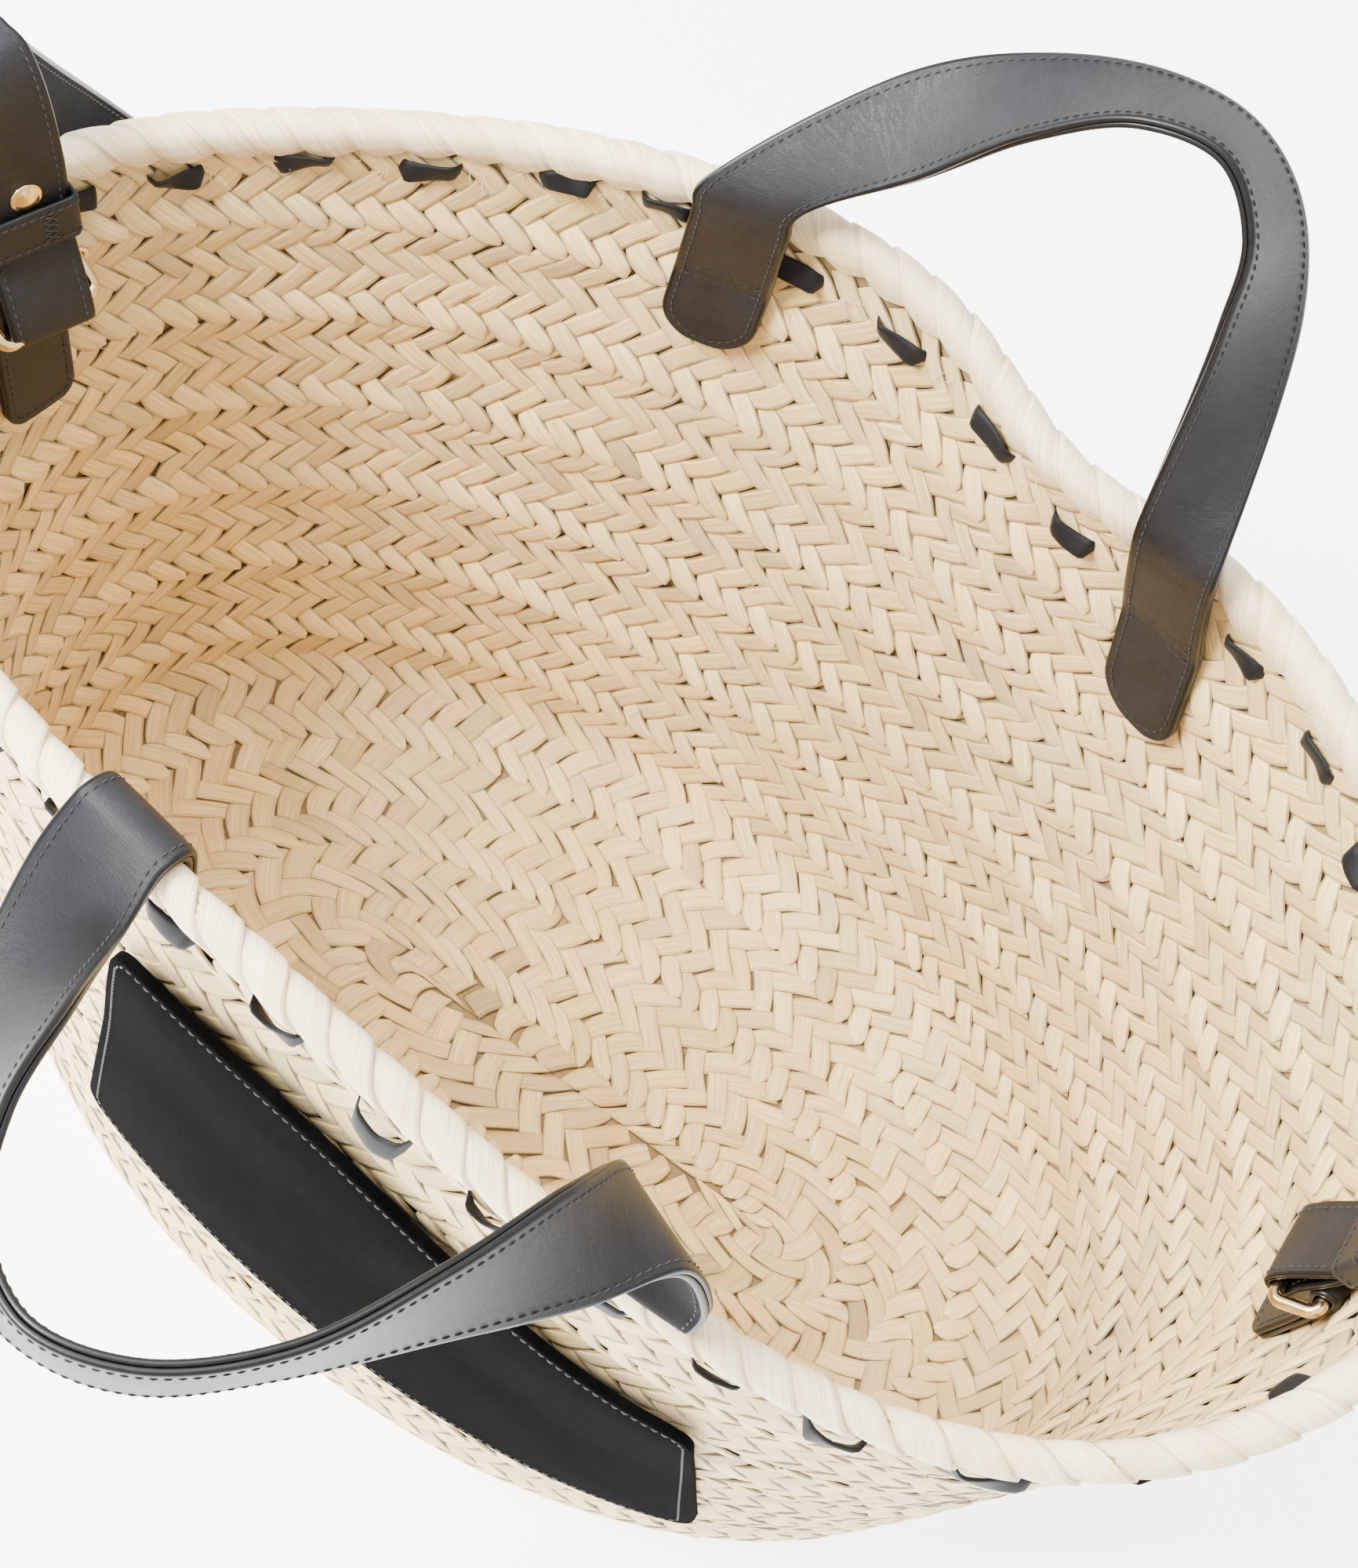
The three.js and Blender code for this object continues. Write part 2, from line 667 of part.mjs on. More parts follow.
for (const end of ENDS) {
  const { place, across: endAcross } = endFrame(end.side);
  const rim = wallPoint(angleAtY(END_Y, end.side, 1), 1, 0);
  const wallBar = end.fold - WALL_BAR.rise;
  const foldBar = end.fold - FOLD_BAR.rise;
  const rivetDrop = end.fold - RIVET_RISE;
  const keeperDrop = end.fold - KEEPER_RISE;
  const nearLayer = WALL_BAR.out - foldCentre;

  const tab = [
    [nearLayer, end.tabEnd],
    [nearLayer, wallBar + 12],
    [nearLayer, wallBar],
    ...arcPath(WALL_BAR.out, wallBar, foldCentre, 180, 360, 7),
    [nearLayer + 2.4, wallBar + 14],
    [nearLayer + 2.4, end.tabEnd - 1],
  ];
  add(`${end.name}_anchor_tab`, flatStrip(place, tab, strapHalf, LEATHER), BLACK, 0.5, 0);
  add(`${end.name}_strap_ring`, ringGeometry(place, end.fold), GOLD, 0.25, 1);

  // Return layer, fold round the ring bar, front layer, then the arch over the rim.
  const path = [
    [BACK_LAYER, rivetDrop - 7],
    [BACK_LAYER, rivetDrop + 4],
    [BACK_LAYER, keeperDrop + KEEPER_HEIGHT + 2],
    [FOLD_BAR.out - foldCentre, wallBar - 5],
    ...arcPath(FOLD_BAR.out, foldBar, foldCentre, 180, 0, 6),
    [FRONT_LAYER, keeperDrop + KEEPER_HEIGHT + 2],
    [FRONT_LAYER, rivetDrop + 4],
    [FRONT_LAYER, rivetDrop - 7],
  ];
  const lower = path.map(([n, d]) => place(n, d, 0));
  const top = lower[lower.length - 1];
  const crest = strapCrest(end);
  const arch = [top, V(top.x + end.side * 4, top.y, (top.z + crest.z) / 2),
    V(rim.x - end.side * 5, crest.y, crest.z), crest];
  for (let k = 1; k <= 8; k += 1) {
    lower.push(bezier(arch, k / 8));
  }
  const sections = lower.map((p, i) => {
    const ahead = lower[Math.min(i + 1, lower.length - 1)];
    const behind = lower[Math.max(i - 1, 0)];
    const along = i === lower.length - 1 ? V(end.side, 0, 0) : ahead.clone().sub(behind).normalize();
    const twist = smooth(clamp01((i - path.length + 1) / 8));
    const across = endAcross.clone().lerp(V(0, 1, 0), twist).normalize();
    const side = along.clone().cross(across).normalize().multiplyScalar(LEATHER / 2);
    return [[-1, -1], [1, -1], [1, 1], [-1, 1]].map(([a, b]) =>
      p.clone().addScaledVector(across, a * strapHalf).addScaledVector(side, b));
  });
  const hole = disc(place, 4, 14, rivetDrop, 0, 1.8, 10);
  add(`${end.name}_strap_end`, subtract(loft(sections, false), hole), BLACK, 0.5, 0);

  const shank = disc(place, BACK_LAYER - 0.9, FRONT_LAYER + 1.3, rivetDrop, 0, 1.4, 10);
  const head = disc(place, FRONT_LAYER + 1.25, FRONT_LAYER + 2.2, rivetDrop, 0, 5.2, 16);
  const rivet = toManifold(shank).add(toManifold(head)).getMesh();
  const rivetGeometry = new THREE.BufferGeometry();
  rivetGeometry.setAttribute('position', new THREE.BufferAttribute(rivet.vertProperties, 3));
  rivetGeometry.setIndex(new THREE.BufferAttribute(rivet.triVerts, 1));
  add(`${end.name}_rivet`, rivetGeometry, GOLD, 0.25, 1);

  const inner = { n0: BACK_LAYER - 1.3, n1: FRONT_LAYER + 2.6, half: strapHalf + 0.4 };
  const wallLayer = 1.5;
  const band = [-1, 1].map((grow) => [keeperDrop, keeperDrop + KEEPER_HEIGHT].map((d) => {
    const extra = grow > 0 ? wallLayer : 0;
    return [[inner.n0 - extra, -inner.half - extra], [inner.n1 + extra, -inner.half - extra],
      [inner.n1 + extra, inner.half + extra], [inner.n0 - extra, inner.half + extra],
    ].map(([n, y]) => place(n, d, y));
  }));
  const [bore, shell] = band;
  add(`${end.name}_keeper`, loft([0, 1, 2, 3].map((k) =>
    [shell[0][k], shell[1][k], bore[1][k], bore[0][k]]), true), BLACK, 0.5, 0);

  const level = 1 - end.eyelet / rim.z;
  const eyeletFrame = wallFrame(angleAtY(END_Y + strapHalf + 9, end.side, level), level, 0.8);
  const eyelet = washer(eyeletFrame.place, 0, 1.2, 0, 0, 3.2, 1.4, 14);
  add(`${end.name}_wall_eyelet`, eyelet, GOLD, 0.25, 1);
}

// ---- shoulder strap -----------------------------------------------------------------------
function shoulderLine(stations) {
  const line = [];
  const low = V(0, STRAP_BACK_Y, STRAP_LOW_Z);
  for (const side of [-1, 1]) {
    const end = ENDS.find((item) => item.side === side);
    const from = strapCrest(end).add(V(side * 1, 0, 0));
    const point = (out, back, down) => V(from.x + side * out, from.y + back, from.z - down);
    const leg = [
      [from, point(16, 0, 0), point(21, 20, 38), point(24, 62, 102)],
      [point(24, 62, 102), point(28, 113, 182), V(side * 150, STRAP_BACK_Y, STRAP_LOW_Z), low],
    ];
    const half = [];
    for (let i = 0; i <= stations; i += 1) {
      const t = 2 * i / stations;
      half.push(t < 1 ? bezier(leg[0], t) : bezier(leg[1], t - 1));
    }
    if (side < 0) line.push(...half);
    else line.push(...half.reverse().slice(1));
  }
  return line.map((p, i) => {
    const ahead = line[Math.min(i + 1, line.length - 1)];
    const behind = line[Math.max(i - 1, 0)];
    const along = ahead.clone().sub(behind).normalize();
    if (i === 0) along.set(-1, 0, 0);
    if (i === line.length - 1) along.set(-1, 0, 0);
    const across = V(0, 1, 0).addScaledVector(along, -along.y).normalize();
    const face = across.clone().cross(along);
    return { p, across, face };
  });
}

const strapLine = shoulderLine(22);
const layerGap = LAYER_GAP / 2;
add('shoulder_strap_face', strapLayer(strapLine, SHOULDER_WIDTH, layerGap, layerGap + LEATHER),
  BLACK, 0.5, 0);
add('shoulder_strap_lining', strapLayer(strapLine, SHOULDER_WIDTH, -layerGap - LEATHER, -layerGap),
  LINING, 0.7, 0);

export default group;
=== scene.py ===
"""Looks of the woven market basket, built round its CAD frame. Work in millimetres, placed in metres."""
import math

import bpy
import numpy as np
from mathutils import Matrix, Vector


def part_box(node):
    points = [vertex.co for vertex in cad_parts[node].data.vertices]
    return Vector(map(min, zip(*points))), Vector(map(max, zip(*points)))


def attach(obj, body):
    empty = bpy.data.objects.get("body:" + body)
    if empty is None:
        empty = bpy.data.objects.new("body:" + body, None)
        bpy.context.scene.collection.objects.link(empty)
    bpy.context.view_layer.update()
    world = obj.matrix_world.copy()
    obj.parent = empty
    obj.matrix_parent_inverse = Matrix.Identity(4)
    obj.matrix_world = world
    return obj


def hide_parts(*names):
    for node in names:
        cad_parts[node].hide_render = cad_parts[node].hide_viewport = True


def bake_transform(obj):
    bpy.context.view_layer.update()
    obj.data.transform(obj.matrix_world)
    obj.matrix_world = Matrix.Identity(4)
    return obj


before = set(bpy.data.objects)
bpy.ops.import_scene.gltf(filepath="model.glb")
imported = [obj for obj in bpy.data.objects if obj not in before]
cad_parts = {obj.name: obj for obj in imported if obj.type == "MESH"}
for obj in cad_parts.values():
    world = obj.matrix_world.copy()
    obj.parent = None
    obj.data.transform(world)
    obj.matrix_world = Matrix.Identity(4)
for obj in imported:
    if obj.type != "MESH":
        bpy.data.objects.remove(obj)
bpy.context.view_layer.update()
rng = np.random.default_rng(7)
MM = 0.001

# ---------------------------------------------------------------- shape of the basket (as the part)
RIM_HALF_LENGTH, RIM_HALF_DEPTH, RIM_SQUARENESS, RIM_HEIGHT = 252.0, 153.0, 2.1, 307.0
BASE_HALF_LENGTH, BASE_HALF_DEPTH, FLARE_POWER = 207.0, 135.0, 0.92
CORNER_RADIUS, WALL = 30.0, 4.6
RIM_WAVES = ((1, -2.5, 0.0), (2, -3.5, 7.0), (3, 11.0, 2.5), (4, 7.0, 0.0))
RIM_BULGE_3 = (-0.015, -0.034)
RIM_SWELL = (0.13, 0.32, 0.045)
RIM_DENT = (1.4, 0.19, 0.096, 8.5)


def unit(v):
    v = np.asarray(v, float)
    return v / np.maximum(np.linalg.norm(v, axis=-1, keepdims=True), 1e-12)


def smooth(t):
    t = np.clip(t, 0, 1)
    return t * t * (3 - 2 * t)


def rim_height(a):
    return RIM_HEIGHT + sum(c * np.cos(n * a) + s * np.sin(n * a) for n, c, s in RIM_WAVES)


def form(a, level, inset=0.0):
    a, level = np.asarray(a, float), np.asarray(level, float)
    opened = np.maximum(level, 1e-9) ** FLARE_POWER
    power = 2 + (RIM_SQUARENESS - 2) * level
    ax = BASE_HALF_LENGTH + (RIM_HALF_LENGTH - BASE_HALF_LENGTH) * opened
    ay = BASE_HALF_DEPTH + (RIM_HALF_DEPTH - BASE_HALF_DEPTH) * opened
    c, s = np.cos(a), np.sin(a)
    reach = (np.abs(c) ** power + np.abs(s) ** power) ** (-1 / power)
    around = np.mod(a, 2 * np.pi)
    dent = np.exp(-(((around - RIM_DENT[0]) / RIM_DENT[1]) ** 2)) * level * level
    turned = np.mod(a + 5 * np.pi, 2 * np.pi) - np.pi
    swell = np.exp(-(((turned - RIM_SWELL[0]) / RIM_SWELL[1]) ** 2)) * level
    wave = RIM_BULGE_3[0] * np.cos(3 * a) + RIM_BULGE_3[1] * np.sin(3 * a)
    scale = 1 + level * level * wave + swell * RIM_SWELL[2] - dent * RIM_DENT[2]
    z = level * (rim_height(a) - RIM_DENT[3] * dent)
    return np.stack([(ax * reach * scale - inset) * c, (ay * reach * scale - inset) * s, z + 0 * c], -1)


def outward(a, level):
    along = form(np.asarray(a) + 1e-3, level) - form(np.asarray(a) - 1e-3, level)
    return unit(np.stack([along[..., 1], -along[..., 0], 0 * along[..., 0]], -1))


def on_wall(a, level, out):
    return form(a, level) + outward(a, level) * np.asarray(out, float)[..., None]


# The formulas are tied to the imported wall: its box fixes scale and place along each axis.
low, high = (np.array(p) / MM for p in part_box("woven_body"))
ring = np.linspace(0, 2 * np.pi, 60, endpoint=False)
skin = on_wall(ring, 1 - 4.4 / RIM_HEIGHT, WALL / 2)
FIT_SCALE = (high - low)[:2] / (skin.max(0) - skin.min(0))[:2]
FIT_SHIFT = low[:2] - skin.min(0)[:2] * FIT_SCALE
print("fit of the form to the packed wall", FIT_SCALE, FIT_SHIFT)


def bisect(test, near, far):
    for _ in range(44):
        middle = (near + far) / 2
        near, far = (middle, far) if test(middle) else (near, middle)
    return (near + far) / 2


def angle_at_x(x, side, level=1.0):
    return side * bisect(lambda m: form(side * m, level)[0] > x, 0.0, np.pi)


def angle_at_y(y, side, level=1.0):
    centre = 0.0 if side > 0 else np.pi
    return bisect(lambda m: (form(m, level)[1] < y) == (side > 0), centre - 1.2, centre + 1.2)


# ---------------------------------------------------------------- mesh building
class Sheet:
    """Collects quads and triangles with UVs and a tint per corner point."""

    def __init__(self):
        self.points, self.quads, self.uv, self.tint, self.count = [], [], [], [], 0
        self.slots, self.slot = [], 0

    def grid(self, points, uv, tint, wrap_u=False, wrap_v=False):
        nu, nv = points.shape[:2]
        iu = np.arange(nu if wrap_u else nu - 1)
        iv = np.arange(nv if wrap_v else nv - 1)
        a, b = np.meshgrid(iu, iv, indexing="ij")
        a2, b2 = (a + 1) % nu, (b + 1) % nv
        quads = np.stack([a * nv + b, a2 * nv + b, a2 * nv + b2, a * nv + b2], -1).reshape(-1, 4)
        tint = np.asarray(tint, float)
        full = np.broadcast_to(tint, (nu, nv, tint.shape[-1])).reshape(-1, tint.shape[-1])
        self.add(points.reshape(-1, 3), quads, uv.reshape(-1, 2), full)

    def grids(self, points, uv, tint, edges=None):
        """Many open grids at once: points (n, nu, nv, 3), tint (n, 3), edges: 0 to 1 across."""
        n, nu, nv = points.shape[:3]
        a, b = np.meshgrid(np.arange(nu - 1), np.arange(nv - 1), indexing="ij")
        one = np.stack([a * nv + b, (a + 1) * nv + b, (a + 1) * nv + b + 1, a * nv + b + 1],
            -1).reshape(-1, 4)
        quads = (one[None] + (np.arange(n) * nu * nv)[:, None, None]).reshape(-1, 4)
        spread = np.linspace(0, 1, nv) if edges is None else edges
        full = np.zeros((n, nu, nv, 4))
        full[..., :3] = tint[:, None, None, :]
        full[..., 3] = spread
        full = full.reshape(-1, 4)
        self.add(points.reshape(-1, 3), quads, uv.reshape(-1, 2), full)

    def add(self, points, quads, uv, tint):
        self.quads.append(np.asarray(quads, int) + self.count)
        self.slots.append(np.full(len(quads), self.slot))
        self.points.append(np.asarray(points, float))
        self.uv.append(np.asarray(uv, float))
        self.tint.append(np.asarray(tint, float))
        self.count += len(points)

    def build(self, name, *materials, flip=False):
        points = np.concatenate(self.points)
        points[:, :2] = points[:, :2] * FIT_SCALE + FIT_SHIFT
        quads = np.concatenate(self.quads)
        if flip:
            quads = quads[:, ::-1]
        mesh = bpy.data.meshes.new(name)
        mesh.vertices.add(len(points))
        mesh.vertices.foreach_set("co", (points * MM).astype(np.float32).ravel())
        mesh.loops.add(quads.size)
        mesh.loops.foreach_set("vertex_index", quads.astype(np.int32).ravel())
        mesh.polygons.add(len(quads))
        mesh.polygons.foreach_set("loop_start", np.arange(0, quads.size, 4, dtype=np.int32))
        mesh.polygons.foreach_set("use_smooth", np.ones(len(quads), bool))
        mesh.polygons.foreach_set("material_index", np.concatenate(self.slots).astype(np.int32))
        mesh.update(calc_edges=True)
        layer = mesh.uv_layers.new(name="UVMap")
        uv = np.concatenate(self.uv)[quads.ravel()]
        layer.data.foreach_set("uv", uv.astype(np.float32).ravel())
        colour = mesh.color_attributes.new("tint", "FLOAT_COLOR", "POINT")
        tint = np.concatenate(self.tint)
        full = tint if tint.shape[1] == 4 else np.concatenate([tint, np.full((len(tint), 1), 0.5)], 1)
        colour.data.foreach_set("color", full.astype(np.float32).ravel())
        for material in materials:
            mesh.materials.append(material)
        mesh.validate()
        obj = bpy.data.objects.new(name, mesh)
        bpy.context.scene.collection.objects.link(obj)
        return obj


def uv_grid(u, v):
    a, b = np.meshgrid(u, v, indexing="ij")
    return np.stack([a, b], -1)


def tube(sheet, path, radius, sides=6, tint=(1, 1, 1), taper=None):
    """A round rod along a polyline."""
    path = np.asarray(path, float)
    along = unit(np.gradient(path, axis=0))
    ref = np.array([0, 0, 1.0]) if abs(along[0][2]) < 0.8 else np.array([1.0, 0, 0])
    side = unit(np.cross(along, ref))
    other = np.cross(along, side)
    turn = np.arange(sides) * 2 * np.pi / sides
    r = radius * (np.ones(len(path)) if taper is None else taper)
    ring_ = side[:, None] * np.cos(turn)[None, :, None] + other[:, None] * np.sin(turn)[None, :, None]
    points = path[:, None] + ring_ * r[:, None, None]
    lengths = np.concatenate([[0], np.cumsum(np.linalg.norm(np.diff(path, axis=0), axis=1))])
    sheet.grid(points, uv_grid(lengths, turn), tint, wrap_v=True)
    for end, order in ((0, 1), (len(path) - 1, -1)):
        centre = path[end] - along[end] * order * r[end] * 0.4
        cap = np.stack([np.broadcast_to(centre, points[end].shape), points[end]])[::order]
        sheet.grid(cap, uv_grid([0, 1], turn), tint, wrap_v=True)


# ---------------------------------------------------------------- materials
def srgb(*c):
    return tuple((x / 255 / 12.92) if x <= 10 else ((x / 255 + 0.055) / 1.055) ** 2.4 for x in c)


class Nodes:
    def __init__(self, name):
        self.material = bpy.data.materials.new(name)
        self.material.use_nodes = True
        self.tree = self.material.node_tree
        self.bsdf = self.tree.nodes["Principled BSDF"]

    def new(self, kind, inputs=None, **settings):
        node = self.tree.nodes.new(kind)
        for key, value in settings.items():
            setattr(node, key, value)
        for key, value in (inputs or {}).items():
            if isinstance(value, bpy.types.NodeSocket):
                self.tree.links.new(value, node.inputs[key])
            else:
                node.inputs[key].default_value = value
        return node

    def set(self, **inputs):
        for key, value in inputs.items():
            socket = self.bsdf.inputs[key.replace("_", " ")]
            if isinstance(value, bpy.types.NodeSocket):
                self.tree.links.new(value, socket)
            else:
                socket.default_value = value

    def mix(self, factor, a, b, blend="MIX"):
        node = self.new("ShaderNodeMix", data_type="RGBA", blend_type=blend)
        for socket, value in ((node.inputs[0], factor), (node.inputs[6], a), (node.inputs[7], b)):
            if isinstance(value, bpy.types.NodeSocket):
                self.tree.links.new(value, socket)
            else:
                socket.default_value = value if not isinstance(value, tuple) else (*value, 1)[:4]
        return node.outputs[2]

    def ramp(self, value, stops):
        node = self.new("ShaderNodeValToRGB", {0: value})
        while len(node.color_ramp.elements) < len(stops):
            node.color_ramp.elements.new(0.5)
        for element, (place, colour) in zip(node.color_ramp.elements, stops):
            element.position = place
            element.color = (*colour, 1) if isinstance(colour, tuple) else (colour,) * 3 + (1,)
        return node.outputs[0]

    def noise(self, vector, scale, detail=3.0, rough=0.5, distortion=0.0):
        return self.new(
            "ShaderNodeTexNoise",
            {"Vector": vector, "Scale": scale, "Detail": detail, "Roughness": rough,
            "Distortion": distortion},
        ).outputs[0]

    def bump(self, height, strength, distance, normal=None):
        inputs = {"Height": height, "Strength": strength, "Distance": distance}
        if normal is not None:
            inputs["Normal"] = normal
        return self.new("ShaderNodeBump", inputs).outputs[0]

    def mapped(self, vector, scale):
        return self.new("ShaderNodeMapping", {"Vector": vector, "Scale": scale}).outputs[0]


def straw_material(name, base, dark, light, gloss=0.55):
    """Dried palm: long fibres along U, edges of the doubled strip along V drawn as lines of painted shade, a
    tint for each strand.
    """
    m = Nodes(name)
    uv = m.new("ShaderNodeUVMap", uv_map="UVMap").outputs[0]
    attribute = m.new("ShaderNodeAttribute", attribute_name="tint")
    tint, across = attribute.outputs[0], attribute.outputs["Alpha"]
    place = m.new("ShaderNodeTexCoord").outputs["Object"]
    fibres = m.noise(m.mapped(uv, (0.03, 0.85, 1)), 1.0, 4, 0.62)
    fine = m.noise(m.mapped(uv, (0.06, 2.6, 1)), 1.0, 3, 0.6)
    blotch = m.noise(place, 46.0, 3, 0.55)
    patch = m.noise(place, 9.0, 2, 0.5)
    colour = m.mix(m.ramp(fibres, [(0.34, 0.0), (0.7, 1.0)]), dark, base)
    colour = m.mix(m.ramp(fine, [(0.45, 0.0), (0.72, 0.55)]), colour, light)
    warm = m.mix(m.ramp(blotch, [(0.45, 0.0), (0.75, 0.5)]), colour, srgb(218, 184, 118))
    grey = m.mix(m.ramp(patch, [(0.45, 0.0), (0.7, 0.35)]), warm, srgb(206, 190, 148))
    colour = m.mix(1.0, grey, tint, "MULTIPLY")
    # Painted shade: the colour is darkened at both edges of each strand, where the gaps between floats are,
    # and in a thin line at the edge of the doubled strip.
    outline = m.ramp(across, [(0.0, 0.3), (0.05, 0.85), (0.1, 1.0), (0.125, 0.6), (0.155, 1.0),
        (0.92, 1.0), (0.975, 0.35)])
    colour = m.mix(1.0, colour, outline, "MULTIPLY")
    rough = m.new("ShaderNodeMapRange",
        {"Value": fine, "To Min": gloss - 0.08, "To Max": gloss + 0.14}).outputs[0]
    height = m.mix(0.45, fibres, fine)
    normal = m.bump(height, 0.6, 0.0006)
    m.set(Base_Color=colour, Roughness=rough, Normal=normal, Specular_IOR_Level=0.42)
    m.set(Sheen_Weight=0.08, Sheen_Roughness=0.5)
    return m.material


def leather_material(name, base, light, grain=1.0, roughness=0.42, specular=0.45, ior=1.4):
    m = Nodes(name)
    place = m.new("ShaderNodeTexCoord").outputs["Object"]
    uv = m.new("ShaderNodeUVMap", uv_map="UVMap").outputs[0]
    cells = m.new("ShaderNodeTexVoronoi", {"Vector": place, "Scale": 1300.0},
        feature="DISTANCE_TO_EDGE").outputs[0]
    pores = m.noise(place, 2600.0, 2, 0.5)
    creases = m.noise(m.mapped(uv, (0.3, 0.07, 1)), 1.0, 6, 0.66, 1.6)
    crease_line = m.ramp(creases, [(0.44, 1.0), (0.5, 0.0), (0.56, 1.0)])
    wear = m.noise(place, 30.0, 4, 0.6)
    colour = m.mix(m.ramp(wear, [(0.35, 0.0), (0.75, 1.0)]), base, light)
    colour = m.mix(m.ramp(pores, [(0.5, 0.0), (0.8, 0.35)]), colour, tuple(0.4 * x for x in base))
    rough = m.new("ShaderNodeMapRange",
        {"Value": wear, "To Min": roughness - 0.06, "To Max": roughness + 0.1}).outputs[0]
    edge = m.ramp(cells, [(0.0, 0.0), (0.12, 1.0)])
    first = m.bump(edge, 0.16 * grain, 0.00022)
    second = m.bump(pores, 0.12 * grain, 0.0002, first)
    third = m.bump(crease_line, 0.22, 0.0005, second)
    m.set(Base_Color=colour, Roughness=rough, Normal=third, Specular_IOR_Level=specular, IOR=ior)
    return m.material


def edge_paint_material():
    m = Nodes("edge_paint")
    place = m.new("ShaderNodeTexCoord").outputs["Object"]
    lumps = m.noise(place, 420.0, 3, 0.5)
    colour = m.mix(m.ramp(lumps, [(0.3, 0.0), (0.8, 1.0)]), srgb(10, 10, 11), srgb(18, 18, 20))
    m.set(Base_Color=colour, Roughness=0.36, Normal=m.bump(lumps, 0.15, 0.0003), IOR=1.35)
    return m.material


def thread_material():
    m = Nodes("thread")
    uv = m.new("ShaderNodeUVMap", uv_map="UVMap").outputs[0]
    twist = m.new("ShaderNodeTexWave",
        {"Vector": m.mapped(uv, (1.0, 0.35, 1)), "Scale": 1.4, "Distortion": 0.4}).outputs[1]
    fuzz = m.noise(uv, 3.0, 3, 0.6)
    colour = m.mix(fuzz, srgb(12, 12, 13), srgb(26, 26, 28))
    m.set(Base_Color=colour, Roughness=0.6, Normal=m.bump(twist, 0.6, 0.0002), Sheen_Weight=0.05)
    return m.material


def metal_material():
    m = Nodes("pale_gold_metal")
    place = m.new("ShaderNodeTexCoord").outputs["Object"]
    cast = m.noise(place, 160.0, 3, 0.5)
    scratch = m.noise(m.mapped(place, (900, 900, 4200)), 1.0, 2, 0.5)
    colour = m.mix(m.ramp(cast, [(0.3, 0.0), (0.7, 1.0)]), srgb(222, 192, 138), srgb(240, 216, 168))
    rough = m.new("ShaderNodeMapRange", {"Value": scratch, "To Min": 0.13, "To Max": 0.26}).outputs[0]
    m.set(Base_Color=colour, Metallic=1.0, Roughness=rough, Normal=m.bump(cast, 0.06, 0.0004))
    return m.material


def lace_material():
    m = Nodes("soft_lace")
    place = m.new("ShaderNodeTexCoord").outputs["Object"]
    nap = m.noise(place, 1800.0, 3, 0.6)
    wear = m.noise(place, 90.0, 3, 0.55)
    colour = m.mix(m.ramp(wear, [(0.3, 0.0), (0.7, 1.0)]), srgb(9, 9, 11), srgb(20, 20, 23))
    colour = m.mix(m.ramp(nap, [(0.4, 0.0), (0.8, 0.5)]), colour, srgb(6, 6, 8))
    m.set(Base_Color=colour, Roughness=0.6, Normal=m.bump(nap, 0.3, 0.0003), IOR=1.3, Sheen_Weight=0.03)
    return m.material


STRAW = straw_material("palm_strand", srgb(236, 210, 152), srgb(200, 162, 100), srgb(250, 236, 192))
# A darker, duller copy of the straw (palm_shadow): painted shade, used for the backing sheet and the rim
# core, which show only in gaps.
SHADED_STRAW = straw_material("palm_shadow", srgb(168, 138, 90), srgb(128, 100, 62), srgb(190, 162, 112), 0.75)
WRAP = straw_material("palm_wrap", srgb(251, 238, 206), srgb(220, 190, 138), srgb(254, 248, 226), 0.5)
LEATHER = leather_material("black_leather_grain", srgb(22, 22, 24), srgb(36, 36, 39), 1.3, 0.43, 0.4, 1.38)
LINING = leather_material("lining_leather", srgb(4, 4, 5), srgb(8, 8, 9), 0.5, 0.6, 0.2, 1.2)
PANEL = leather_material("matte_leather", srgb(5, 5, 5), srgb(15, 15, 16), 1.2, 0.6, 0.04, 1.07)
EDGE, THREAD, METAL, LACE = edge_paint_material(), thread_material(), metal_material(), lace_material()

# ---------------------------------------------------------------- the woven surface as a sampled grid
N_TURN, STEP = 720, 1.0
START_OFF = (17.0, 8.0)
FLAT = BASE_HALF_DEPTH - (CORNER_RADIUS - WALL / 2)


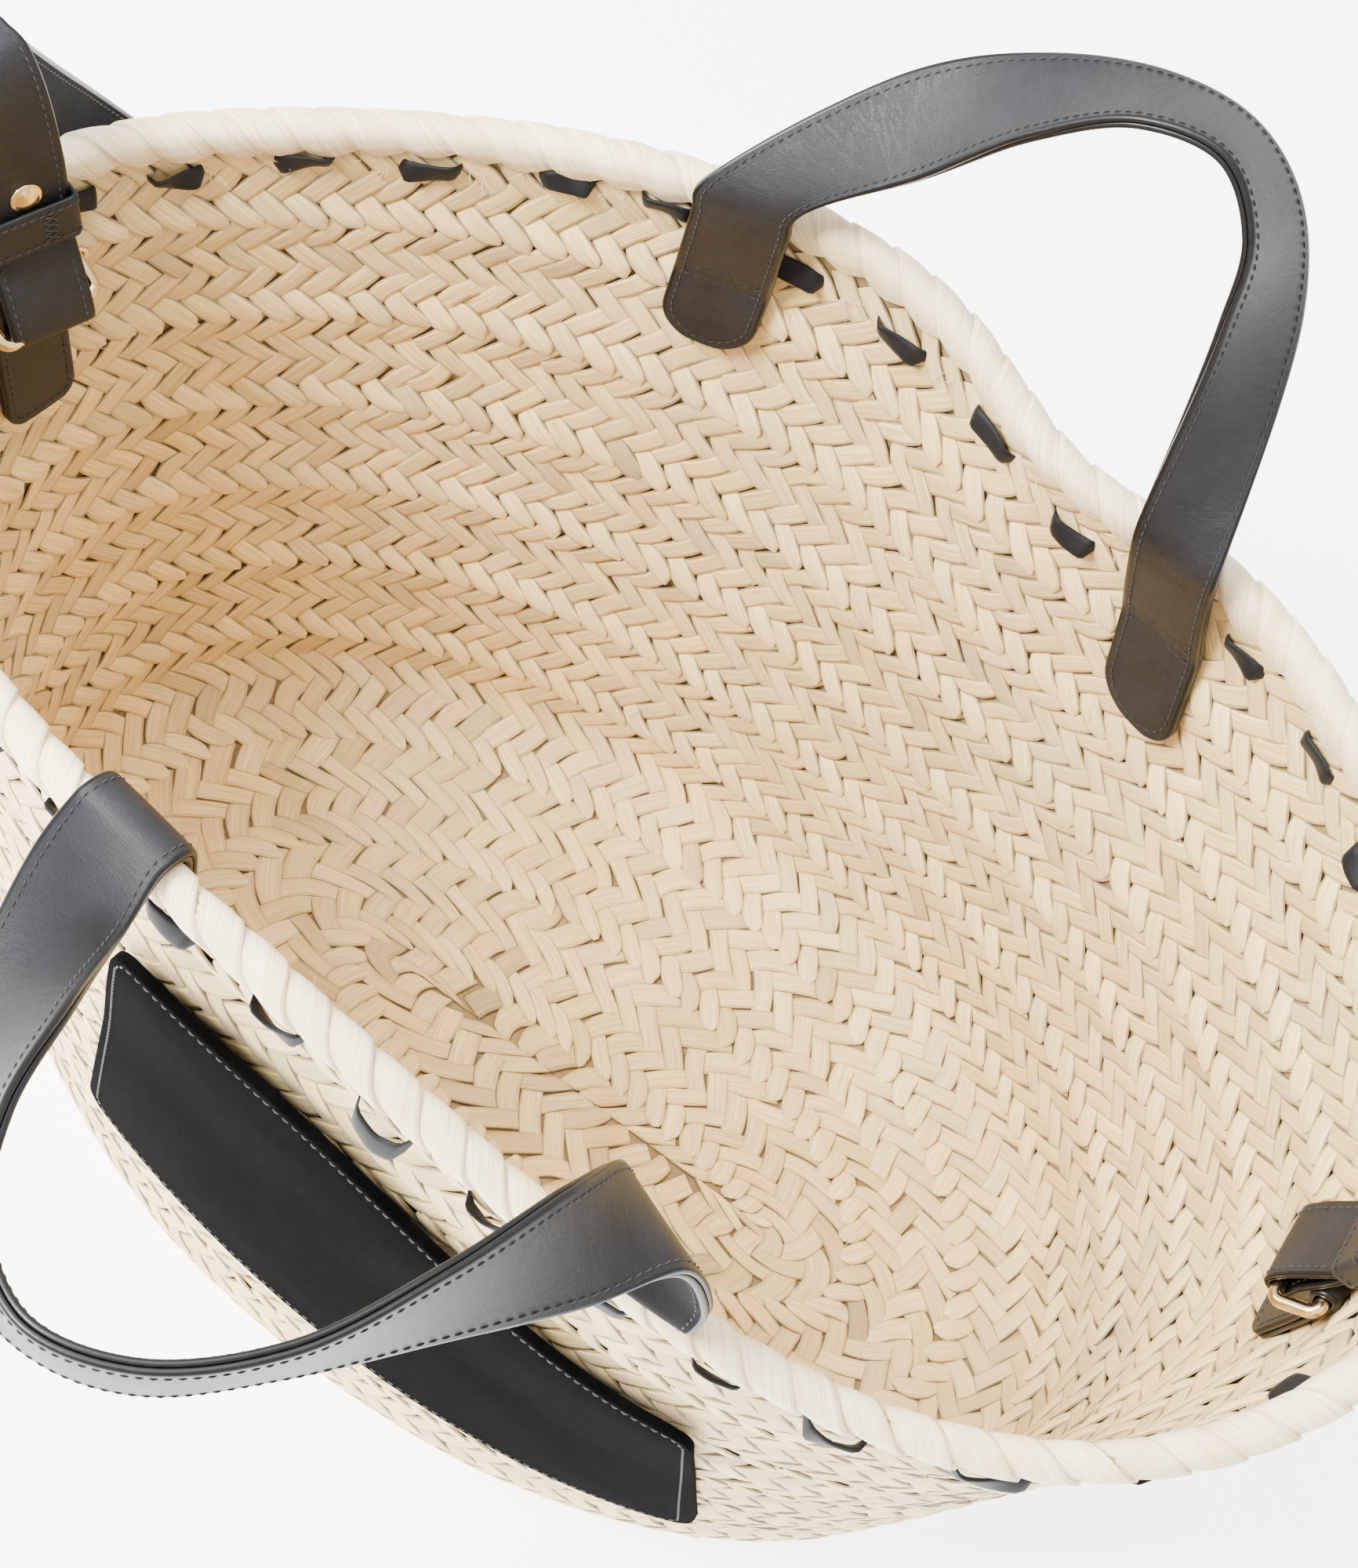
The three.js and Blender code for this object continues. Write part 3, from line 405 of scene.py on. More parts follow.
def surface_grid():
    angles = np.arange(N_TURN) * 2 * np.pi / N_TURN
    radius = CORNER_RADIUS - WALL / 2
    spans = []
    for s in np.linspace(0, FLAT, 30)[:-1]:
        x = (BASE_HALF_LENGTH - BASE_HALF_DEPTH + s) * np.cos(angles) + START_OFF[0] * (1 - s / FLAT)
        y = s * np.sin(angles) + START_OFF[1] * (1 - s / FLAT)
        spans.append(np.stack([x, y, np.full(N_TURN, WALL / 2)], -1))
    corner = []
    for k in range(13):
        turn = k * math.pi / 24
        z = CORNER_RADIUS - radius * math.cos(turn)
        inset = radius * (1 - math.sin(turn))
        level = np.full(N_TURN, z / RIM_HEIGHT)
        corner.append(form(angles, level * (1 - (1 - k / 12) * 0.999), inset))
        corner[-1][:, 2] = z + (corner[-1][:, 2] - z) * (k / 12) ** 2
    spans += corner
    first_wall = len(spans) - 1
    for level in np.linspace(CORNER_RADIUS / RIM_HEIGHT, 1 - 2.5 / RIM_HEIGHT, 41)[1:]:
        spans.append(form(angles, np.full(N_TURN, level)))
    profile = np.stack(spans, 1)
    length = np.concatenate(
        [np.zeros((N_TURN, 1)), np.cumsum(np.linalg.norm(np.diff(profile, axis=1), axis=2), 1)], 1
    )
    corner_end = length[:, first_wall].mean()
    total = corner_end + (length[:, -1] - length[:, first_wall]).mean()
    samples = np.arange(0, total, STEP)
    grid = np.zeros((N_TURN, len(samples), 3))
    for i in range(N_TURN):
        own = length[i].copy()
        low_part = own[: first_wall + 1] * corner_end / own[first_wall]
        wall = (own[first_wall + 1 :] - own[first_wall]) / (own[-1] - own[first_wall])
        own = np.concatenate([low_part, corner_end + wall * (total - corner_end)])
        for axis in range(3):
            grid[i, :, axis] = np.interp(samples, own, profile[i, :, axis])
    return grid


GRID = surface_grid()
across_t = np.roll(GRID, -1, 0) - np.roll(GRID, 1, 0)
across_s = np.gradient(GRID, axis=1)
GRID_NORMAL = unit(np.cross(across_t, across_s))
GRID_NORMAL[:, 0] = GRID_NORMAL[:, 1] = (0, 0, -1)
S_TOTAL = (GRID.shape[1] - 1) * STEP
GRID_SPEED = np.linalg.norm(across_t, axis=2) * N_TURN / (4 * np.pi)


def sample(table, t, s):
    """Bilinear look-up of a grid at angle t and distance s from the base line."""
    a = np.mod(t / (2 * np.pi) * N_TURN, N_TURN)
    b = np.clip(s / STEP, 0, table.shape[1] - 1.001)
    i, j = np.floor(a).astype(int) % N_TURN, np.floor(b).astype(int)
    fa, fb = (a - np.floor(a)), b - j
    if table.ndim == 3:
        fa, fb = fa[..., None], fb[..., None]
    i2 = (i + 1) % N_TURN
    top = table[i, j] * (1 - fa) + table[i2, j] * fa
    bottom = table[i, j + 1] * (1 - fa) + table[i2, j + 1] * fa
    return top * (1 - fb) + bottom * fb


# ---------------------------------------------------------------- the coiled plait
PLAIT, ROWS, PITCH = 46.5, 4, 10.8
ROW = PLAIT / ROWS
LEAN = math.atan2(ROW, PITCH)
STRAND = PITCH * math.sin(LEAN)
turns = np.arange(-1.0, S_TOTAL / PLAIT + 0.3, 1 / 1440)
mid = np.clip(PLAIT * (turns + 0.5), 5, S_TOTAL - 2)
speed = sample(GRID_SPEED, 2 * np.pi * turns, mid)
RUN = np.concatenate([[0], np.cumsum((speed[1:] + speed[:-1]) / 2 * np.diff(turns) * 2 * np.pi)])


def plait_to_surface(run, c):
    turn = np.interp(run, RUN, turns)
    return 2 * np.pi * turn, PLAIT * turn + c


def relief(t, s, c):
    """Slow unevenness of the sewn coil: it bows in at each seam."""
    seam = np.exp(-(((np.mod(c + PLAIT / 2, PLAIT) - PLAIT / 2) / 9.0) ** 2))
    slow = np.sin(5 * t + 0.045 * s) * 0.5 + np.sin(11 * t - 0.07 * s + 1.3) * 0.35
    return (-1.3 * seam + 0.6 * slow) * smooth(s / 60)


EDGES = (np.array([-1.0, -0.95, -0.55, 0.0, 0.55, 0.95, 1.0]) + 1) / 2


def leaf_batch(run, c, direction, puffy, face, seed):
    """Floats of one row. face +1 is outside, -1 inside. Returns points, uv and tint."""
    n = len(run)
    r = np.random.default_rng(seed)
    nu, nv = 9, 7
    u = np.linspace(-1, 1, nu)
    v = np.array([-1.0, -0.95, -0.55, 0.0, 0.55, 0.95, 1.0])
    uu, vv = np.meshgrid(u, v, indexing="ij")
    half = STRAND * (1.33 if not puffy else 1.22) * (1 + r.uniform(-0.04, 0.04, n))
    wide = STRAND / 2 * (r.uniform(0.93, 1.05, n) if not puffy else r.uniform(1.08, 1.22, n))
    taper = np.ones((n, nu, nv))
    if puffy:
        near = np.clip((-uu - 0.35) / 0.65, 0, 1)
        far = np.clip((uu - 0.5) / 0.5, 0, 1)
        taper = taper * np.sqrt(np.clip(1 - 0.93 * near**2.4, 0.02, 1)) * (1 - 0.25 * far)
    lift = r.uniform(-0.12, 0.12, n)[:, None, None]
    tilt = r.normal(0, 0.1, n)[:, None, None]
    e = np.abs(uu) * half[:, None, None] / STRAND
    if puffy:
        body = 1.85 - 0.6 * vv**2 - 0.8 * np.clip(-uu, 0, 1) ** 3 - 1.9 * np.clip(uu, 0, 1) ** 2.2
        tilt = tilt + 0.22
    else:
        body = 1.05 - 0.12 * vv**2 - 0.62 * np.clip(e, 0, 1) ** 3 - 1.1 * np.clip(e - 1, 0, 1)
        body = body + 0.0 * lift
    skirt = np.where(np.abs(vv) > 0.99, 0.6, 0.0) + np.where(np.abs(vv) > 0.9, 0.05, 0.0)
    height = body + lift + tilt * vv - skirt
    ang = direction * (LEAN + r.normal(0, 0.045, n))
    bow = r.normal(0, 0.012, n)[:, None, None]
    along = uu[None] * half[:, None, None]
    over = vv[None] * wide[:, None, None] * taper + bow * along**2
    ca, sa = np.cos(ang)[:, None, None], np.sin(ang)[:, None, None]
    x = along * ca - over * sa + r.normal(0, 0.22, n)[:, None, None]
    y = along * sa + over * ca + r.normal(0, 0.22, n)[:, None, None]
    t, s = plait_to_surface(run[:, None, None] + x, c[:, None, None] + y)
    p = sample(GRID, t, s)
    nrm = sample(GRID_NORMAL, t, s)
    off = relief(t, s, c[:, None, None] + y) + face * (0.95 + height)
    points = p + nrm * off[..., None]
    uv = np.stack([along + r.uniform(0, 900, n)[:, None, None],
        over + r.uniform(0, 900, n)[:, None, None]], -1)
    shade = r.normal(0, 0.085, n) - 0.2 * (r.random(n) < 0.05)
    warm = r.normal(0, 0.02, n)
    casts = np.array([[1, 1, 1], [1.02, 0.985, 0.93], [0.985, 1.0, 0.9], [1.0, 0.96, 0.955],
        [1.03, 1.02, 1.0]])
    cast = casts[r.integers(0, len(casts), n)]
    base = np.array([1.0, 1.0, 1.0]) if not puffy else np.array([1.09, 1.1, 1.12])
    if not puffy and direction * face > 0:
        base = np.array([0.95, 0.935, 0.9])
    tint = base[None] * cast * (1 + shade)[:, None] * (1 + warm[:, None] * np.array([[0.4, 0.0, -1.4]]))
    return points, uv, np.clip(tint, 0.55, 1.2), sample(GRID, *plait_to_surface(run, c))


def weave(face):
    """All floats of one face, as batches with a place for each float."""
    batches = []
    total = RUN[-1]
    for row in range(ROWS):
        run = np.arange(0.0, total, PITCH) + (PITCH / 2 if row % 2 else 0.0)
        c = np.full(len(run), (row + 0.5) * ROW)
        _, s = plait_to_surface(run, c)
        keep = (s > 0.4) & (s < S_TOTAL - 6.0)
        direction = (1 if row % 2 == 0 else -1) * (1 if face < 0 else -1)
        seed = 100 + row * 7 + face
        batches.append(leaf_batch(run[keep], c[keep], direction, row == 0, face, seed))
    return batches


def build_weave():
    made = []
    for face, label in ((-1, "inside"), (1, "outside")):
        parts = {"base": Sheet(), "lower_wall": Sheet(), "upper_wall": Sheet()}
        for points, uv, tint, centre in weave(face):
            z = centre[:, 2]
            zone = np.where(z < 22, 0, np.where(z < 165, 1, 2))
            for k, sheet in enumerate(parts.values()):
                pick = zone == k
                if pick.any():
                    sheet.grids(points[pick], uv[pick], tint[pick], EDGES)
        for zone, sheet in parts.items():
            obj = sheet.build(f"plait_{label}_{zone}", STRAW, flip=face < 0)
            made.append(obj)
    # Backing sheet at the middle of the wall, in the shaded straw with a darker tint: painted shade that
    # shows through the gaps between the floats.
    core = Sheet()
    t = np.linspace(0, 2 * np.pi, 241)[:-1]
    s = np.linspace(0, S_TOTAL - 1.5, 120)
    tt, ss = np.meshgrid(t, s, indexing="ij")
    p = (
        sample(GRID, tt, ss) + sample(GRID_NORMAL, tt, ss)
        * relief(tt, ss, ss - PLAIT * tt / 2 / np.pi)[..., None]
    )
    core.grid(p, np.stack([tt * 200, ss], -1), (0.8, 0.76, 0.7), wrap_u=True)
    made.append(core.build("plait_shade_backing", SHADED_STRAW))
    return made


for obj in build_weave():
    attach(obj, "basket")
    if obj.name == "plait_shade_backing":
        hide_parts("woven_body")


# ---------------------------------------------------------------- wrapped rim
WRAP_PITCH = 14.8
WRAP_SLANT = 19
WRAP_RADIUS = 4.1
ROPE_RADIUS = 4.3
fine = np.linspace(0, 2 * np.pi, 1441)
rim_steps = np.linalg.norm(np.diff(form(fine, np.ones(1441)), axis=0), axis=1)
RIM_LENGTH = rim_steps.sum()
RIM_RUN = np.concatenate([[0], np.cumsum(rim_steps)])


def rim_angle(run):
    return np.interp(np.mod(run, RIM_LENGTH), RIM_RUN, fine)


def rim_place(run, out, up):
    """A point near the rim: up above the rim line, or down along the wall."""
    a = rim_angle(run)
    top = form(a, np.ones_like(a))
    level = 1 + np.minimum(up, 0) / top[..., 2]
    return on_wall(a, level, out) + np.stack([0 * up, 0 * up, np.maximum(up, 0)], -1)


def rim_profile(v, grow, legs):
    """Section of the wrap from inside (v=0) over the top to outside (v=1)."""
    radius = WRAP_RADIUS + grow
    arc = math.pi * radius
    d = v * (legs[0] + legs[1] + arc)
    turn = np.clip((d - legs[0]) / radius, 0, math.pi)
    out = -radius * np.cos(turn)
    below = np.clip(legs[0] - d, 0, None) + np.clip(d - legs[0] - arc, 0, None)
    up = radius * 0.92 * np.sin(turn) - below
    end = below / legs[0]
    return out * (1 - 0.42 * smooth(end - 0.25)), up, d


def build_rim_wrap():
    sheet = Sheet()
    count = int(round(RIM_LENGTH / WRAP_PITCH))
    pitch = RIM_LENGTH / count
    v = np.linspace(0, 1, 26)
    u = np.array([-0.5, -0.47, -0.36, -0.2, 0.0, 0.2, 0.36, 0.5, 0.6, 0.66])
    for k in range(count):
        slant = WRAP_SLANT + rng.normal(0, 1.8)
        width = pitch * (1.12 + rng.normal(0, 0.05))
        uu, vv = np.meshgrid(u, v, indexing="ij")
        cross = (uu + 0.5) / 1.16
        grow = 0.2 + 2.0 * np.sin(np.clip(cross, 0, 1) * 2.2) ** 1.1 + rng.normal(0, 0.15)
        grow = grow + 0.35 * np.exp(-(((cross - 0.93) / 0.06) ** 2)) - np.where(uu > 0.64, 2.2, 0.0)
        reach = 3.2 * np.exp(-(((uu - 0.25) / 0.4) ** 2)) + rng.normal(0, 0.5)
        out, up, d = rim_profile(vv, grow * 0.85, (6.0 + reach, 3.6 + reach))
        wave = 0.8 * np.sin(vv * math.pi) * np.sin(k * 1.7)
        run = k * pitch + uu * width + (vv - 0.5) * slant + wave
        points = rim_place(run, out, up)
        uv = np.stack([d + 60 * k, uu * width + rng.uniform(0, 500)], -1)
        shade = 1 + rng.normal(0, 0.035)
        # Painted shade: each strip is darkened at its start, which lies under the previous strip, and at its
        # end, which is tucked under the next one.
        overlap_shade = 1 - 0.42 * np.clip((-uu - 0.28) / 0.16, 0, 1) - 0.5 * (uu > 0.64)
        tint = np.clip(np.array([1.02, 1.01, 1.0]) * shade * overlap_shade[..., None], 0.4, 1.15)
        sheet.grid(points, uv, tint)
    return sheet.build("rim_wrap_strips", WRAP, flip=True)


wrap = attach(build_rim_wrap(), "basket")
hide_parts("rim_wrap")
# The rim core rope is drawn in the shaded straw with a darker tint: painted shade where it shows between the
# wrap strips.
core_sheet = Sheet()
a_core = np.linspace(0, 2 * np.pi, 241)[:-1]
turn = np.linspace(0, 2 * np.pi, 13)[:-1]
run_core = np.interp(a_core, fine, RIM_RUN)
rr, tt = np.meshgrid(run_core, turn, indexing="ij")
core_points = rim_place(rr, ROPE_RADIUS * np.cos(tt), ROPE_RADIUS * np.sin(tt))
core_sheet.grid(core_points, np.stack([rr, tt * 4], -1), (0.85, 0.8, 0.72), wrap_u=True, wrap_v=True)
rim_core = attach(core_sheet.build("rim_core_rope", SHADED_STRAW), "basket")
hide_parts("rim_core")


# ---------------------------------------------------------------- ribbons of leather
def running_length(line):
    """Distance from the start to each point of a line."""
    return np.concatenate([[0], np.cumsum(np.linalg.norm(np.diff(line, axis=0), axis=1))])


def spline(points, samples_per_mm=0.9):
    """Smooth run through stations; points is (n, columns, 3). Returns positions and distance."""
    points = np.asarray(points, float)
    middle = points[:, points.shape[1] // 2]
    knots = np.concatenate([[0], np.cumsum(np.sqrt(np.linalg.norm(np.diff(middle, axis=0), axis=1)))])
    step = np.diff(knots)[:, None, None]
    slope = np.diff(points, axis=0) / step
    tangent = np.zeros_like(points)
    tangent[1:-1] = (slope[:-1] * step[1:] + slope[1:] * step[:-1]) / (step[1:] + step[:-1])
    tangent[0], tangent[-1] = slope[0], slope[-1]
    fine_t = np.linspace(0, knots[-1], 4000)
    k = np.clip(np.searchsorted(knots, fine_t, side="right") - 1, 0, len(knots) - 2)
    h = (knots[k + 1] - knots[k])[:, None, None]
    u = ((fine_t - knots[k]) / h[:, 0, 0])[:, None, None]
    out = (
        points[k] * (2 * u**3 - 3 * u**2 + 1)
        + points[k + 1] * (3 * u**2 - 2 * u**3)
        + tangent[k] * h * (u**3 - 2 * u**2 + u)
        + tangent[k + 1] * h * (u**3 - u**2)
    )
    core = out[:, points.shape[1] // 2]
    run = running_length(core)
    even = np.linspace(0, run[-1], int(run[-1] * samples_per_mm) + 2)
    result = np.zeros((len(even), points.shape[1], 3))
    for j in range(points.shape[1]):
        for axis in range(3):
            result[:, j, axis] = np.interp(even, run, out[:, j, axis])
    return result, even


class Ribbon:
    def __init__(self, net, width, toward):
        self.grid, self.run = spline(net)
        self.half = width / 2
        du = np.gradient(self.grid, axis=0)
        dv = np.gradient(self.grid, axis=1)
        self.normal = unit(np.cross(du, dv)) * toward
        self.length = self.run[-1]

    def at(self, s, x, lift=0.0):
        s, x = np.broadcast_arrays(np.asarray(s, float), np.asarray(x, float))
        a = np.clip(s / self.length * (len(self.run) - 1), 0, len(self.run) - 1.0001)
        columns = self.grid.shape[1]
        b = np.clip((x / self.half + 1) / 2 * (columns - 1), 0, columns - 1.0001)
        i, j = a.astype(int), b.astype(int)
        fa, fb = (a - i)[..., None], (b - j)[..., None]
        mix = lambda t: (t[i, j] * (1 - fa) + t[i + 1, j] * fa) * (1 - fb) + (
            t[i, j + 1] * (1 - fa) + t[i + 1, j + 1] * fa
        ) * fb
        n = unit(mix(self.normal))
        return mix(self.grid) + n * np.broadcast_to(np.asarray(lift, float), s.shape)[..., None], n

    def layer(self, sheet, s, low, high, narrow=None, thin=None, crown=0.0):
        """One leather layer between two lifts; narrow and thin scale width and thickness."""
        s = np.asarray(s, float)
        narrow = np.ones(len(s)) if narrow is None else narrow
        thin = np.ones(len(s)) if thin is None else thin
        sign = 1 if high > low else -1
        t = abs(high - low)
        h = self.half
        edge = [(h - 0.25, 0.0), (h - 0.02, 0.25), (h, 0.5 * t), (h - 0.18, 0.8 * t), (h - 0.6, 0.96 * t)]
        inner = np.linspace(h - 1.3, -(h - 1.3), 13)
        crest = [
            (x, t + crown * (1 - (x / h) ** 2) - 0.12 * math.exp(-(((abs(x) - h + 3) / 0.9) ** 2)))
            for x in inner
        ]
        mirror = [(-x, y) for x, y in edge[::-1]]
        parts = ((1, edge + crest[:1]), (0, crest), (1, crest[-1:] + mirror), (1, [mirror[-1], edge[0]]))
        for slot, part in parts:
            sheet.slot = slot
            x = np.array([q[0] for q in part])
            y = np.array([q[1] for q in part])
            ss, xx = np.meshgrid(s, x, indexing="ij")
            yy = np.broadcast_to(y, ss.shape)
            p, _ = self.at(ss, xx * narrow[:, None], low + sign * yy * thin[:, None])
            sheet.grid(p, np.stack([ss, xx], -1), (1, 1, 1))
        sheet.slot = 0


def stitches(sheet, points, normals, pitch=3.1, length=2.35, radius=0.25, slant=0.12):
    """A row of lockstitches along a dense line that lies on a surface."""
    points, normals = np.asarray(points, float), np.asarray(normals, float)
    run = running_length(points)
    count = max(2, int(round(run[-1] / pitch)))
    centre = (np.arange(count) + 0.5) * run[-1] / count
    pick = lambda table, at: np.stack([np.interp(at, run, table[:, k]) for k in range(3)], -1)
    c, n = pick(points, centre), unit(pick(normals, centre))
    t = unit(pick(points, centre + 0.5) - pick(points, centre - 0.5))
    t = unit(t - n * np.sum(t * n, -1, keepdims=True))
    b = np.cross(n, t)
    t = unit(t + b * slant)
    b = np.cross(n, t)
    along = np.array([-0.5, -0.42, -0.2, 0.0, 0.2, 0.42, 0.5]) * length
    lift = np.array([-0.5, -0.12, 0.06, 0.12, 0.06, -0.12, -0.5])
    size = np.array([0.3, 0.8, 1.0, 1.0, 1.0, 0.8, 0.3]) * radius
    turn = np.linspace(0, 2 * np.pi, 7)
    ring_ = (
        np.cos(turn)[None, None, :, None] * b[:, None, None] + np.sin(turn)[None, None, :, None]
        * n[:, None, None]
    )
    base = c[:, None] + t[:, None] * along[None, :, None] + n[:, None] * lift[None, :, None]
    p = base[:, :, None] + ring_ * size[None, :, None, None]
    uv = np.broadcast_to(uv_grid(along, turn)[None], (*p.shape[:3], 2))
    sheet.grids(p, uv, np.ones((count, 3)))


# ---------------------------------------------------------------- the two handles
STRAP, LAYER, GAP, HANDLE_ROOT = 31.0, 1.8, 0.3, 24.0
HANDLES = (
    ("front", -1, ((-85, -85, 72, -85), (85, 85, 72, 85)),
     [((-70, -200, 350), (-0.74, -0.4, -0.54)), ((-55, -231, 358), (-0.28, -0.4, -0.88)),
      ((-35, -253, 363), (0.07, -0.2, -0.97)), ((-12, -261, 368), (0.12, 0.1, -0.98)),
      ((11, -254, 370), (0, 0.13, -0.99)), ((34, -232, 372), (-0.07, 0.06, -1)),
      ((53, -200, 370), (0.16, -0.2, -0.97)), ((69, -167, 362), (0.57, -0.5, -0.64)),
      ((78, -145, 345), (0.9, -0.4, 0))]),
    ("back", 1, ((-81, -82, 62, -82), (102, 86, 74, 92)),
     [((-48, 163, 365), (-0.69, 0.61, 0.4)), ((-20, 174, 392), (-0.32, 0.95, 0.03)),
      ((8, 180, 409), (-0.05, 0.96, -0.27)), ((33, 182, 411), (-0.01, 0.92, -0.38)),
      ((52, 177, 399), (0.12, 0.96, -0.26)), ((65, 167, 373), (0.48, 0.86, -0.17))]),
)
TAB_OFFSET, OVER_OFFSET = WALL / 2 + 1.3 + 1.8, 5.3 + 1.4 + 1.8
COLUMNS = np.linspace(-1, 1, 9)


def tab_net(x_low, x_rim, length, side):
    path = [(TAB_OFFSET, length - up) for up in (0, 4, 9, 15, 22, 30)]
    path = [q for q in path if q[1] > 36]
    path += [(TAB_OFFSET, 32), (TAB_OFFSET + 0.9, 28), (OVER_OFFSET, 22), (OVER_OFFSET, 12), (OVER_OFFSET, 3)]
    if side > 0:
        path[-3:] = [(OVER_OFFSET, 20), (OVER_OFFSET + 2.6, 8), (OVER_OFFSET + 4.5, -4),
            (OVER_OFFSET + 4.2, -14)]
    else:
        turns_ = [k * math.pi / 8 for k in range(1, 6)]
        path += [(OVER_OFFSET * math.cos(q), -OVER_OFFSET * math.sin(q)) for q in turns_]
    net = []
    for offset, drop in path:
        row = []
        for v in COLUMNS:
            x = x_rim + (x_low - x_rim) * drop / length + v * STRAP / 2
            a = angle_at_x(x, side)
            top = form(a, 1.0)
            if drop <= 0:
                row.append(top - outward(a, 1.0) * offset + np.array([0, 0, -drop]))
            else:
                level = 1 - drop / top[2]
                row.append(on_wall(angle_at_x(x, side, level), level, -offset))
        net.append(row)
    return np.array(net)


def handle_net(side, tabs, loop):
    left, right = (tab_net(low_x, rim_x, drop, side) for low_x, rim_x, drop, _ in tabs)
    roots = [form(angle_at_x(x, side), 1.0) for *_, x in tabs]
    axis = unit(roots[1] - roots[0])
    points = [np.array(at, float) for at, _ in loop]
    widths = [unit(wide) for _, wide in loop]
    starts = []
    for root, end in zip(roots, (points[0], points[-1])):
        away = end - root
        starts.append(root + unit(away - axis * (away @ axis) * 0.7) * HANDLE_ROOT)
    if side < 0:
        points = [starts[0], *points, starts[1]]
        widths = [-axis, *widths, axis]
    rows = [p + np.outer(COLUMNS, w) * STRAP / 2 for p, w in zip(points, widths)]
    return np.concatenate([left[:, ::-1], np.array(rows), right[::-1]]), roots, axis


def rounded_end(s, length, half):
    """Width and thickness factors for a strap whose two ends are round."""
    up = np.minimum(s, length - s)
    narrow = np.sqrt(np.clip(1 - np.clip(1 - up / half, 0, 1) ** 2.3, 0.0008, 1))
    thin = np.sqrt(np.clip(1 - np.clip(1 - up / 0.9, 0, 1) ** 2, 0.05, 1))
    return narrow, thin


def dense_ends(length, half):
    near = half * (1 - np.cos(np.linspace(0, math.pi / 2, 16)))
    near[0] = 0.06
    middle = np.arange(half + 1.4, length - half - 1.4, 1.4)
    return np.concatenate([near, middle, (length - near)[::-1]])


for name, side, tabs, loop in HANDLES:
    net, roots, axis = handle_net(side, tabs, loop)
    strap = Ribbon(net, STRAP, 1)
    inside_dir = np.array([0, -side, 0.0])
    if strap.normal[4, 4] @ inside_dir < 0:
        strap.normal = -strap.normal
    s = dense_ends(strap.length, STRAP / 2)
    narrow, thin = rounded_end(s, strap.length, STRAP / 2)
    face, lining, thread = Sheet(), Sheet(), Sheet()
    strap.layer(face, s, GAP / 2, GAP / 2 + LAYER, narrow, thin, 0.25)
    strap.layer(lining, s, -GAP / 2, -GAP / 2 - LAYER, narrow, thin, 0.0)
    inset = STRAP / 2 - 3.0
    arc = np.linspace(0, math.pi, 60)
    start_run = np.stack([3.0 + inset * (1 - np.sin(arc)), -inset * np.cos(arc)], -1)
    body = np.arange(3.0 + inset, strap.length - 3.0 - inset, 0.8)
    right_side = np.stack([body, np.full(len(body), inset)], -1)
    left_side = np.stack([body, np.full(len(body), -inset)], -1)
    end_run = np.stack([strap.length - start_run[:, 0], start_run[:, 1]], -1)
    bars = []
    for k, (_, _, drop, _) in enumerate(tabs):
        for seam_drop in (drop - 32.0, drop - 26.5):
            place_s = seam_drop if k == 0 else strap.length - seam_drop
            bars.append(np.stack([np.full(40, place_s), np.linspace(-inset, inset, 40)], -1))
    for line in (start_run, right_side, left_side, end_run, *bars):
        for lift, sign in ((GAP / 2 + LAYER + 0.12, 1), (-GAP / 2 - LAYER, -1)):
            p, n = strap.at(line[:, 0], line[:, 1], lift)
            stitches(thread, p, n * sign)
    hinge = (roots[0] + roots[1]) / 2
    crown = np.mean([p for p, _ in loop], axis=0) - hinge
    lean = unit(crown - axis * (crown @ axis))
    objects = (
        (face.build(f"{name}_handle_leather", LEATHER, EDGE), "black_leather",
         (f"{name}_handle_face", f"{name}_handle_left_end", f"{name}_handle_right_end")),
        (lining.build(f"{name}_handle_backing", LINING, EDGE, flip=True), "leather_lining",
         (f"{name}_handle_lining",)),
        (thread.build(f"{name}_handle_stitching", THREAD), "black_leather", ()),
    )
    for obj, slot, nodes in objects:
        if nodes:
            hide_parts(*nodes)
        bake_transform(obj)

# ---------------------------------------------------------------- front panel
PANEL_BOX = dict(
    left=-97.0, right=134.0, lean=15.5, low=0.3, fall=0.0003, high=0.85, dip=0.105, thick=3.0, stand=3.0
)
PANEL_TALL = 165.0
PANEL_CORNER = 8
PANEL_SEAM = 4.2


def panel_point(u, v, lift):
    """u runs from the left end to the right one, v from the low edge to the high one."""
    u, v = np.asarray(u, float), np.asarray(v, float)
    left = PANEL_BOX["left"] + PANEL_BOX["lean"] * v
    right = PANEL_BOX["right"] - PANEL_BOX["lean"] * v
    x = left + (right - left) * u
    edge = np.minimum(u, 1 - u) * (right - left)
    cut = np.sqrt(np.clip(PANEL_CORNER**2 - (PANEL_CORNER - edge) ** 2, 0, PANEL_CORNER**2))
    trim = np.where(edge < PANEL_CORNER, (PANEL_CORNER - cut) / PANEL_TALL, 0)
    low_ = PANEL_BOX["low"] - PANEL_BOX["fall"] * x
    high_ = PANEL_BOX["high"] - PANEL_BOX["dip"] * smooth((x + 20) / 140)
    level = low_ + trim + (high_ - low_ - 2 * trim) * v
    stand = 0.9 + PANEL_BOX["stand"] * smooth((v - 0.5) / 0.5)
    m = np.full(x.shape, 1.5)
    low_m, high_m = np.full(x.shape, 0.02), np.full(x.shape, math.pi - 0.02)
    for _ in range(34):
        m = (low_m + high_m) / 2
        bigger = form(-m, level)[..., 0] > x
        low_m, high_m = np.where(bigger, m, low_m), np.where(bigger, high_m, m)
    return on_wall(-m, level, WALL / 2 + stand + lift)


